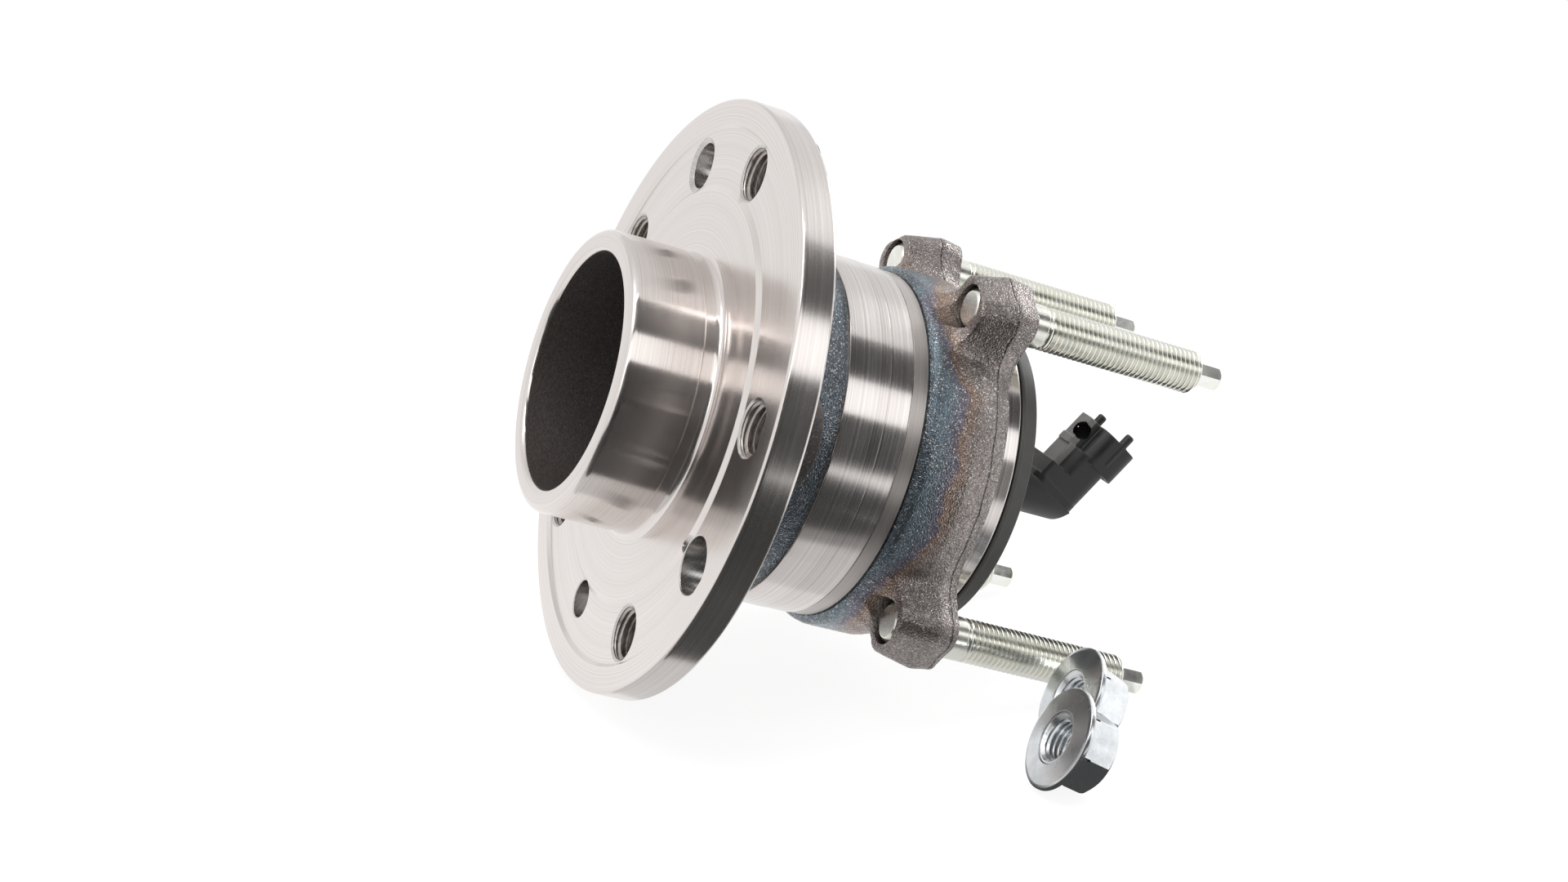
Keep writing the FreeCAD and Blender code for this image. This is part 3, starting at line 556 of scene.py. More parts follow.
class Graph:
    """Adds nodes to a node tree and links them."""

    def __init__(self, tree: bpy.types.NodeTree) -> None:
        """Starts on a tree."""
        self.tree = tree

    def add(self, kind: str, inputs: dict | None = None, **settings: object) -> bpy.types.Node:
        """Adds a node.

        Args:
            kind: the node's type.
            inputs: values or sockets for its inputs, by name or number.
            settings: the node's own settings.

        Returns:
            The node.
        """
        node = self.tree.nodes.new(kind)
        for key, value in settings.items():
            setattr(node, key, value)
        for key, value in (inputs or {}).items():
            if isinstance(value, bpy.types.NodeSocket):
                self.tree.links.new(value, node.inputs[key])
            else:
                node.inputs[key].default_value = value
        return node

    def feed(self, source: Socket, node: bpy.types.Node, title: str) -> None:
        """Links a socket to a node's named input."""
        self.tree.links.new(source, node.inputs[title])

    def effect(self, tree: bpy.types.NodeTree, place: Socket, title: str, value: float) -> bpy.types.Node:
        """Places a shared effect, with the material's own value for its named input."""
        return self.add("ShaderNodeGroup", {"Vector": place, title: value}, node_tree=tree)

    def math(self, operation: str, first: object, second: object = 0.0) -> Socket:
        """A math node's result."""
        return self.add("ShaderNodeMath", {0: first, 1: second}, operation=operation).outputs[0]

    def mix(self, share: object, first: object, second: object) -> Socket:
        """A colour mix's result."""
        return self.add("ShaderNodeMix", {0: share, 6: first, 7: second}, data_type="RGBA").outputs[2]

    def spread(self, value: object, low: object, high: object, to_low: float = 0.0,
               to_high: float = 1.0) -> Socket:
        """A value moved from one range to another, and kept inside it."""
        node = self.add("ShaderNodeMapRange", {0: value, 1: low, 2: high, 3: to_low, 4: to_high})
        return node.outputs[0]

    def noise(self, vector: object, scale: object, detail: float = 4.0, roughness: float = 0.55) -> Socket:
        """Soft noise over a place."""
        inputs = {"Vector": vector, "Scale": scale, "Detail": detail, "Roughness": roughness}
        return self.add("ShaderNodeTexNoise", inputs).outputs["Fac"]

    def place(self) -> Socket:
        """The place on the object, in metres."""
        return self.add("ShaderNodeTexCoord").outputs["Object"]

    def radius(self, place: Socket, x: float = 0.0, z: float = 0.0) -> Socket:
        """The distance from a line along Y.

        Args:
            place: the place on the object.
            x: the line's place in metres.
            z: the line's place in metres.

        Returns:
            The distance in metres.
        """
        parts = self.add("ShaderNodeSeparateXYZ", {0: place})
        across = self.math("SUBTRACT", parts.outputs[0], x)
        up = self.math("SUBTRACT", parts.outputs[2], z)
        squares = self.math("ADD", self.math("MULTIPLY", across, across), self.math("MULTIPLY", up, up))
        return self.math("SQRT", squares)

    def station(self, place: Socket) -> Socket:
        """The place along Y, in metres."""
        return self.add("ShaderNodeSeparateXYZ", {0: place}).outputs[1]


def effect_group(name: str, inputs: dict[str, str],
                 outputs: dict[str, str]) -> tuple[Graph, dict[str, Socket], bpy.types.Node]:
    """Starts a shared effect as a node group.

    Args:
        name: the effect's name.
        inputs: its inputs' names and types.
        outputs: its outputs' names and types.

    Returns:
        The group's graph, its input sockets by name, and its output node.
    """
    tree = bpy.data.node_groups.new(name, "ShaderNodeTree")
    for title, kind in inputs.items():
        tree.interface.new_socket(name=title, in_out="INPUT", socket_type="NodeSocket" + kind)
    for title, kind in outputs.items():
        tree.interface.new_socket(name=title, in_out="OUTPUT", socket_type="NodeSocket" + kind)
    graph = Graph(tree)
    entry = tree.nodes.new("NodeGroupInput")
    found = {title: entry.outputs[title] for title in inputs}
    return graph, found, tree.nodes.new("NodeGroupOutput")


class Effects:
    """The effects that more than one finish uses, each built once."""

    def __init__(self) -> None:
        """Builds every effect."""
        self.turning = self.turning_marks()
        self.grain = self.forged_grain()
        self.wear_and_shade = self.edge_wear_and_hollow_shade()
        self.handling = self.handling_marks()

    @staticmethod
    def turning_marks() -> bpy.types.NodeTree:
        """Fine rings left by the lathe tool: a height and a shade that change along the outline.

        Returns:
            The effect's node group.
        """
        graph, given, end = effect_group("turning_marks", {"Vector": "Vector", "Marks": "Float"},
                                         {"Height": "Float", "Shade": "Float"})
        along = graph.math("ADD", graph.radius(given["Vector"]), graph.station(given["Vector"]))
        fine = graph.add("ShaderNodeTexNoise", {"W": along, "Scale": given["Marks"], "Detail": 3.0},
                         noise_dimensions="1D").outputs["Fac"]
        coarse_scale = graph.math("MULTIPLY", given["Marks"], 0.11)
        coarse = graph.add("ShaderNodeTexNoise", {"W": along, "Scale": coarse_scale, "Detail": 1.0},
                           noise_dimensions="1D").outputs["Fac"]
        smear = graph.noise(given["Vector"], 28.0, 2.0)
        graph.feed(graph.math("MULTIPLY", fine, graph.spread(smear, 0.3, 0.7, 0.55, 1.0)), end, "Height")
        both = graph.math("ADD", graph.math("MULTIPLY", fine, 0.8), graph.math("MULTIPLY", coarse, 0.2))
        graph.feed(graph.spread(both, 0.3, 0.7), end, "Shade")
        return graph.tree

    @staticmethod
    def forged_grain() -> bpy.types.NodeTree:
        """Scale and blast marks of a forged skin: its height, raised grains, specks for a painted glint,
        and mottling.

        Returns:
            The effect's node group.
        """
        graph, given, end = effect_group(
            "forged_grain", {"Vector": "Vector", "Grain": "Float"},
            {"Height": "Float", "Raised": "Float", "Glint Speck": "Float", "Mottle": "Float"})
        pits = graph.add("ShaderNodeTexVoronoi", {"Vector": given["Vector"], "Scale": given["Grain"]},
                         feature="F1").outputs["Distance"]
        soft = graph.noise(given["Vector"], graph.math("MULTIPLY", given["Grain"], 0.45), 4.0, 0.6)
        height = graph.math("ADD", graph.math("MULTIPLY", pits, 0.8), graph.math("MULTIPLY", soft, 0.9))
        graph.feed(height, end, "Height")
        graph.feed(graph.spread(height, 0.55, 1.0), end, "Raised")
        flake_scale = graph.math("MULTIPLY", given["Grain"], 1.5)
        flake = graph.add("ShaderNodeTexVoronoi", {"Vector": given["Vector"], "Scale": flake_scale},
                          feature="F1").outputs["Color"]
        chosen = graph.add("ShaderNodeSeparateColor", {0: flake}).outputs[0]
        graph.feed(graph.spread(chosen, 0.87, 0.95), end, "Glint Speck")
        graph.feed(graph.spread(graph.noise(given["Vector"], 85.0, 3.0), 0.35, 0.65), end, "Mottle")
        return graph.tree

    @staticmethod
    def edge_wear_and_hollow_shade() -> bpy.types.NodeTree:
        """Bare edges as a mask that starts at a sharpness and is broken by noise, and a mask of hollows for
        painted shade.

        Returns:
            The effect's node group.
        """
        graph, given, end = effect_group("edge_wear_and_hollow_shade", {"Vector": "Vector", "Start": "Float"},
                                         {"Edge": "Float", "Hollow Shade": "Float"})
        point = graph.add("ShaderNodeNewGeometry").outputs["Pointiness"]
        broken = graph.spread(graph.noise(given["Vector"], 900.0, 3.0), 0.3, 0.7, -0.02, 0.02)
        full = graph.math("ADD", given["Start"], 0.07)
        graph.feed(graph.spread(graph.math("ADD", point, broken), given["Start"], full), end, "Edge")
        graph.feed(graph.spread(point, 0.40, 0.48, 1.0, 0.0), end, "Hollow Shade")
        return graph.tree

    @staticmethod
    def handling_marks() -> bpy.types.NodeTree:
        """Light smudges and oil film of a handled part, as a broad change of gloss.

        Returns:
            The effect's node group.
        """
        graph, given, end = effect_group("handling_marks", {"Vector": "Vector", "Size": "Float"},
                                         {"Smudge": "Float"})
        soft = graph.noise(given["Vector"], given["Size"], 5.0, 0.62)
        graph.feed(graph.spread(soft, 0.35, 0.68), end, "Smudge")
        return graph.tree


def new_material(name: str) -> tuple[bpy.types.Material, Graph, bpy.types.Node]:
    """Starts a material.

    Args:
        name: the material's name.

    Returns:
        The material, its graph and its principled shader.
    """
    material = bpy.data.materials.new(name)
    material.use_nodes = True
    graph = Graph(material.node_tree)
    return material, graph, material.node_tree.nodes["Principled BSDF"]


def bump(graph: Graph, shader: bpy.types.Node, height: Socket, depth_mm: float,
         strength: float = 1.0) -> None:
    """Lets a height raise and lower the shader's surface.

    Args:
        graph: the material's graph.
        shader: its principled shader.
        height: the height, where 1 is the full depth.
        depth_mm: the full depth in millimetres.
        strength: how strongly it shows.
    """
    inputs = {"Strength": strength, "Distance": depth_mm * SCALE, "Height": height}
    node = graph.add("ShaderNodeBump", inputs)
    graph.feed(node.outputs["Normal"], shader, "Normal")


@dataclass(frozen=True)
class TurnedSteel:
    """Bright steel straight from the lathe or grinder."""

    name: str
    colour: Colour
    shaded: Colour
    roughness: float
    roughness_spread: float
    marks_per_metre: float
    depth_mm: float
    anisotropy: float = 0.0

    def build(self, effects: Effects) -> bpy.types.Material:
        """Makes the finish.

        Args:
            effects: the shared effects.

        Returns:
            The material.
        """
        material, graph, shader = new_material(self.name)
        place = graph.place()
        marks = graph.effect(effects.turning, place, "Marks", self.marks_per_metre)
        smudge = graph.effect(effects.handling, place, "Size", 60.0)
        graph.feed(graph.mix(marks.outputs["Shade"], self.shaded, self.colour), shader, "Base Color")
        gloss = graph.math("ADD", graph.math("MULTIPLY", marks.outputs["Shade"], 0.4),
                           graph.math("MULTIPLY", smudge.outputs["Smudge"], 0.6))
        low, high = self.roughness, self.roughness + self.roughness_spread
        graph.feed(graph.spread(gloss, 0.0, 1.0, low, high), shader, "Roughness")
        bump(graph, shader, marks.outputs["Height"], self.depth_mm, 0.6)
        shader.inputs["Metallic"].default_value = 1.0
        if self.anisotropy > 0:
            round_axis = graph.add("ShaderNodeTangent", direction_type="RADIAL", axis="Y")
            graph.feed(round_axis.outputs[0], shader, "Tangent")
            shader.inputs["Anisotropic"].default_value = self.anisotropy
            shader.inputs["Anisotropic Rotation"].default_value = 0.25
        return material


@dataclass(frozen=True)
class ForgedSteel:
    """Blasted forging skin with colours along the axis between stations: temper colours, and in the cup
    painted shade.

    The colours run ahead by warm_shift round the warm places, and the dies' parting line lies at seam_y
    on the axis and leans by seam_slope.
    """

    name: str
    stops: tuple[tuple[float, Colour], ...]
    glint_and_wear_colour: Colour
    roughness: float
    grain_per_metre: float
    depth_mm: float
    metallic: float
    warm_places: tuple[Place, ...] = ()
    warm_reach: tuple[float, float] = (8.0, 21.0)
    warm_shift: float = 5.0
    seam_y: float = 0.0
    seam_slope: float = 0.0
    seam_width: float = 0.3
    wander: float = 1.5
    speck_gloss: float = 0.14

    def warmed(self, graph: Graph, place: Socket, along: Socket) -> Socket:
        """Lets the heat colour run ahead beside the warm places.

        Args:
            graph: the material's graph.
            place: the place on the object.
            along: the station that the colour is read at.

        Returns:
            The station beside the warm places.
        """
        low, high = self.warm_reach
        distances = [graph.radius(place, x * SCALE, z * SCALE) for x, z in self.warm_places]
        nearest = distances[0]
        for distance in distances[1:]:
            nearest = graph.math("MINIMUM", nearest, distance)
        ahead = graph.spread(nearest, low * SCALE, high * SCALE, self.warm_shift * SCALE, 0.0)
        return graph.math("ADD", along, ahead)

    def seam(self, graph: Graph, place: Socket) -> Socket:
        """The thin parting line that the dies leave.

        Args:
            graph: the material's graph.
            place: the place on the object.

        Returns:
            A mask of the line.
        """
        parts = graph.add("ShaderNodeSeparateXYZ", {0: place})
        lean = graph.math("MULTIPLY", parts.outputs[2], self.seam_slope)
        leaning = graph.math("ADD", parts.outputs[1], lean)
        wander = graph.spread(graph.noise(place, 160.0, 2.0), 0.3, 0.7, -0.25 * SCALE, 0.25 * SCALE)
        away = graph.math("SUBTRACT", graph.math("ADD", leaning, wander), self.seam_y * SCALE)
        away = graph.math("ABSOLUTE", away)
        return graph.spread(away, 0.3 * self.seam_width * SCALE, self.seam_width * SCALE, 1.0, 0.0)

    def axial_colour(self, graph: Graph, place: Socket) -> Socket:
        """The colours along the axis: temper colours, and in the cup painted shade.

        Args:
            graph: the material's graph.
            place: the place on the object.

        Returns:
            The colour.
        """
        first, last = self.stops[0][0], self.stops[-1][0]
        most = self.wander * SCALE
        wander = graph.spread(graph.noise(place, 120.0), 0.3, 0.7, -most, most)
        along = graph.math("ADD", graph.station(place), wander)
        if self.warm_places:
            along = self.warmed(graph, place, along)
        ramp = graph.add("ShaderNodeValToRGB", {0: graph.spread(along, first * SCALE, last * SCALE)})
        while len(ramp.color_ramp.elements) < len(self.stops):
            ramp.color_ramp.elements.new(0.5)
        for element, (station, colour) in zip(ramp.color_ramp.elements, self.stops):
            element.position = (station - first) / (last - first)
            element.color = colour
        return ramp.outputs[0]

    def build(self, effects: Effects) -> bpy.types.Material:
        """Makes the finish.

        Args:
            effects: the shared effects.

        Returns:
            The material.
        """
        material, graph, shader = new_material(self.name)
        place = graph.place()
        grain = graph.effect(effects.grain, place, "Grain", self.grain_per_metre)
        axial = self.axial_colour(graph, place)
        mottled = graph.mix(grain.outputs["Mottle"], graph.mix(0.35, axial, grey(0.06, 0.05)), axial)
        # Painted shade: the hollows between the raised grains are darkened towards near black.
        valley_shade = graph.mix(0.62, mottled, grey(0.02, 0.03))
        skin = graph.mix(grain.outputs["Raised"], valley_shade, mottled)
        height = grain.outputs["Height"]
        if self.seam_y > 0:
            seam = self.seam(graph, place)
            skin = graph.mix(graph.math("MULTIPLY", seam, 0.8), skin, grey(0.02))
            height = graph.math("SUBTRACT", height, graph.math("MULTIPLY", seam, 1.5))
        # Painted glint: the specks take a paler colour, and below they also take a lower roughness. Worn
        # edges take the same pale colour.
        glinted = graph.mix(grain.outputs["Glint Speck"], skin, self.glint_and_wear_colour)
        wear_and_shade = graph.effect(effects.wear_and_shade, place, "Start", WEAR_START)
        worn = graph.mix(graph.math("MULTIPLY", wear_and_shade.outputs["Edge"], 0.5), glinted, self.glint_and_wear_colour)
        graph.feed(worn, shader, "Base Color")
        smooth = self.roughness - self.speck_gloss
        rough = graph.spread(grain.outputs["Glint Speck"], 0.0, 1.0, self.roughness, smooth)
        graph.feed(rough, shader, "Roughness")
        bump(graph, shader, height, self.depth_mm)
        shader.inputs["Metallic"].default_value = self.metallic
        return material


@dataclass(frozen=True)
class ZincPlate:
    """Electroplated zinc that drifts faintly between two tints, bare on edges, with painted shade in its
    hollows.
    """

    name: str
    tint: Colour
    other_tint: Colour
    roughness: float

    def build(self, effects: Effects) -> bpy.types.Material:
        """Makes the finish.

        Args:
            effects: the shared effects.

        Returns:
            The material.
        """
        material, graph, shader = new_material(self.name)
        place = graph.place()
        smudge = graph.effect(effects.handling, place, "Size", 220.0).outputs["Smudge"]
        wear_and_shade = graph.effect(effects.wear_and_shade, place, "Start", WEAR_START)
        tint = graph.mix(smudge, self.tint, self.other_tint)
        worn = graph.mix(graph.math("MULTIPLY", wear_and_shade.outputs["Edge"], 0.6), tint, grey(0.9))
        # Painted shade: hollows such as thread roots are darkened towards dark grey.
        worn = graph.mix(graph.math("MULTIPLY", wear_and_shade.outputs["Hollow Shade"], 0.75), worn, grey(0.12, 0.03))
        graph.feed(worn, shader, "Base Color")
        dull = graph.spread(smudge, 0.0, 1.0, self.roughness, self.roughness + 0.1)
        graph.feed(dull, shader, "Roughness")
        bump(graph, shader, graph.noise(place, 2600.0, 3.0), 0.02, 0.5)
        shader.inputs["Metallic"].default_value = 1.0
        return material


@dataclass(frozen=True)
class Moulded:
    """Moulded plastic or rubber, with a fine grained skin and paler rubbed edges."""

    name: str
    colour: Colour
    rubbed: Colour
    roughness: float
    grain_per_metre: float
    depth_mm: float

    def build(self, effects: Effects) -> bpy.types.Material:
        """Makes the finish.

        Args:
            effects: the shared effects.

        Returns:
            The material.
        """
        material, graph, shader = new_material(self.name)
        place = graph.place()
        smudge = graph.effect(effects.handling, place, "Size", 150.0).outputs["Smudge"]
        wear_and_shade = graph.effect(effects.wear_and_shade, place, "Start", WEAR_START)
        base = graph.mix(graph.math("MULTIPLY", smudge, 0.35), self.colour, self.rubbed)
        worn = graph.mix(graph.math("MULTIPLY", wear_and_shade.outputs["Edge"], 0.7), base, self.rubbed)
        graph.feed(worn, shader, "Base Color")
        dull = graph.spread(smudge, 0.0, 1.0, self.roughness, self.roughness + 0.16)
        graph.feed(dull, shader, "Roughness")
        bump(graph, shader, graph.noise(place, self.grain_per_metre, 3.0), self.depth_mm, 0.7)
        return material


class Finishes:
    """Every finish of the bearing, built once."""

    def __init__(self) -> None:
        """Builds the materials."""
        effects = Effects()
        self.steels(effects)
        self.forgings(effects)
        self.platings(effects)
        self.mouldings(effects)

    def steels(self, effects: Effects) -> None:
        """Builds the turned, ground, pressed and cut steels.

        Args:
            effects: the shared effects.
        """
        self.face = TurnedSteel(
            "turned_face", colour=(0.76, 0.715, 0.69, 1), shaded=(0.66, 0.615, 0.59, 1), roughness=0.17,
            roughness_spread=0.08, marks_per_metre=2600.0, depth_mm=0.008).build(effects)
        self.nose = TurnedSteel(
            "turned_nose", colour=(0.75, 0.70, 0.675, 1), shaded=(0.65, 0.605, 0.58, 1), roughness=0.165,
            roughness_spread=0.04, marks_per_metre=2600.0, depth_mm=0.004, anisotropy=0.9).build(effects)
        self.rim = TurnedSteel(
            "turned_rim", colour=(0.77, 0.725, 0.70, 1), shaded=(0.64, 0.60, 0.575, 1), roughness=0.2,
            roughness_spread=0.05, marks_per_metre=1900.0, depth_mm=0.008, anisotropy=0.85).build(effects)
        self.bore = TurnedSteel(
            "drilled_bore", colour=(0.62, 0.60, 0.58, 1), shaded=(0.45, 0.43, 0.42, 1), roughness=0.18,
            roughness_spread=0.12, marks_per_metre=3200.0, depth_mm=0.02).build(effects)
        self.ground = TurnedSteel(
            "ground_register", colour=(0.76, 0.72, 0.70, 1), shaded=(0.58, 0.54, 0.52, 1), roughness=0.165,
            roughness_spread=0.08, marks_per_metre=1700.0, depth_mm=0.01, anisotropy=0.85).build(effects)
        self.race = TurnedSteel(
            "bearing_steel", colour=(0.72, 0.70, 0.68, 1), shaded=(0.62, 0.60, 0.58, 1), roughness=0.12,
            roughness_spread=0.1, marks_per_metre=4000.0, depth_mm=0.004).build(effects)
        self.land = TurnedSteel(
            "narrow_land", colour=(0.50, 0.465, 0.445, 1), shaded=(0.43, 0.40, 0.38, 1), roughness=0.3,
            roughness_spread=0.1, marks_per_metre=1700.0, depth_mm=0.01).build(effects)
        self.pressed = TurnedSteel(
            "pressed_steel", colour=(0.60, 0.60, 0.60, 1), shaded=(0.52, 0.52, 0.52, 1), roughness=0.3,
            roughness_spread=0.15, marks_per_metre=900.0, depth_mm=0.01).build(effects)
        self.thread = TurnedSteel(
            "cut_thread", colour=(0.50, 0.46, 0.43, 1), shaded=(0.36, 0.33, 0.31, 1), roughness=0.24,
            roughness_spread=0.14, marks_per_metre=900.0, depth_mm=0.01).build(effects)

    def forgings(self, effects: Effects) -> None:
        """Builds the cup, raw and darkened inwards as painted shade, and the housing's temper-coloured
        skin.

        Args:
            effects: the shared effects.
        """
        # Painted shade: the cup darkens towards its floor and stays darkest behind the flange.
        cup_shade_stops = ((-22.0, (0.062, 0.05, 0.046, 1)), (6.0, (0.045, 0.036, 0.033, 1)))
        self.cup = ForgedSteel(
            "forged_cup", cup_shade_stops, glint_and_wear_colour=(0.085, 0.07, 0.064, 1), roughness=0.62, grain_per_metre=1800.0,
            depth_mm=0.06, metallic=0.5).build(effects)
        heat_stops = (
            (14.0, (0.20, 0.235, 0.27, 1)), (26.0, (0.20, 0.235, 0.27, 1)), (46.5, (0.13, 0.17, 0.205, 1)),
            (51.0, (0.21, 0.275, 0.32, 1)), (54.2, (0.21, 0.195, 0.25, 1)), (56.0, (0.38, 0.26, 0.20, 1)),
            (59.0, (0.36, 0.31, 0.29, 1)), (68.0, (0.38, 0.335, 0.32, 1)))
        self.forged = ForgedSteel(
            "forged_skin", heat_stops, glint_and_wear_colour=(0.5, 0.485, 0.475, 1), roughness=0.26, grain_per_metre=2500.0,
            depth_mm=0.15, metallic=0.9, warm_places=tuple(Studs.places()), seam_y=65.0,
            seam_slope=0.055).build(effects)

    def platings(self, effects: Effects) -> None:
        """Builds the zinc of the studs, the nuts and the contacts.

        Args:
            effects: the shared effects.
        """
        self.yellow = ZincPlate(
            "zinc_yellow", tint=(0.83, 0.82, 0.745, 1), other_tint=(0.77, 0.78, 0.72, 1),
            roughness=0.2).build(effects)
        self.white = ZincPlate(
            "zinc_white", tint=(0.76, 0.785, 0.80, 1), other_tint=(0.68, 0.705, 0.73, 1),
            roughness=0.2).build(effects)
        self.contact = ZincPlate(
            "contact_metal", tint=(0.75, 0.72, 0.66, 1), other_tint=(0.68, 0.66, 0.62, 1),
            roughness=0.25).build(effects)

    def mouldings(self, effects: Effects) -> None:
        """Builds the plastics and rubbers.

        Args:
            effects: the shared effects.
        """
        self.plastic = Moulded(
            "black_plastic", colour=grey(0.006), rubbed=grey(0.022, 0.02), roughness=0.36,
            grain_per_metre=4200.0, depth_mm=0.02).build(effects)
        self.lock = Moulded(
            "lock_plastic", colour=grey(0.09, 0.06), rubbed=grey(0.24, 0.05), roughness=0.33,
            grain_per_metre=4200.0, depth_mm=0.02).build(effects)
        self.pit = Moulded(
            "pit_shadow", colour=grey(0.002), rubbed=grey(0.004), roughness=0.9,
            grain_per_metre=2000.0, depth_mm=0.02).build(effects)
        self.textured = Moulded(
            "textured_plastic", colour=grey(0.032, 0.04), rubbed=grey(0.08, 0.04), roughness=0.44,
            grain_per_metre=2600.0, depth_mm=0.05).build(effects)
        self.cage = Moulded(
            "cage_plastic", colour=(0.45, 0.30, 0.16, 1), rubbed=(0.55, 0.40, 0.24, 1), roughness=0.4,
            grain_per_metre=2400.0, depth_mm=0.02).build(effects)
        self.rubber = Moulded(
            "seal_rubber", colour=grey(0.03), rubbed=grey(0.07), roughness=0.6,
            grain_per_metre=3000.0, depth_mm=0.02).build(effects)
        self.magnet = Moulded(
            "magnet_rubber", colour=(0.05, 0.04, 0.036, 1), rubbed=grey(0.1, 0.04), roughness=0.55,
            grain_per_metre=2600.0, depth_mm=0.02).build(effects)


def dress(piece: bpy.types.Object, materials: Sequence[bpy.types.Material], body: Body,
          nodes: Sequence[str] = ()) -> bpy.types.Object:
    """Gives a piece its materials, its body and the frame nodes that it stands for.

    Args:
        piece: the finished piece.
        materials: its materials in slot order.
        body: what it rides on.
        nodes: the frame nodes that it replaces.

    Returns:
        The piece.
    """
    piece.data.materials.clear()
    for material in materials:
        piece.data.materials.append(material)
    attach(piece, body.value)
    if nodes:
        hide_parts(*nodes)
    LOG.info("%s: %d faces on %s", piece.name, len(piece.data.polygons), body.value)
    return piece


def dress_node(node: str, material: bpy.types.Material) -> None:
    """Gives a frame node that stays a better material.

    Args:
        node: the node's name.
        material: its material.
    """
    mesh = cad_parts[node].data
    if not mesh.materials:
        mesh.materials.append(material)
    for index in range(len(mesh.materials)):
        mesh.materials[index] = material
    LOG.info("%s: frame node", node)


@dataclass(frozen=True)
class Hole:
    """A hole through the flange, which is finished as far as finish_r and lies on a circle."""

    bore_r: float
    mouth_r: float
    finish_r: float
    circle_r: float
    turn_deg: float

    def place(self) -> Place:
        """The x and z of its middle."""
        return polar(self.circle_r, self.turn_deg)

    def holds(self, middle: Vector, corners: Sequence[Vector]) -> bool:
        """Whether a face lies on the hole's wall or mouth.

        Args:
            middle: the face's middle in millimetres.
            corners: its corners.

        Returns:
            True if it does.
        """
        x, z = self.place()
        if math.hypot(middle.x - x, middle.z - z) >= self.finish_r:
            return False
        return all(math.hypot(corner.x - x, corner.z - z) < self.finish_r + 0.1 for corner in corners)


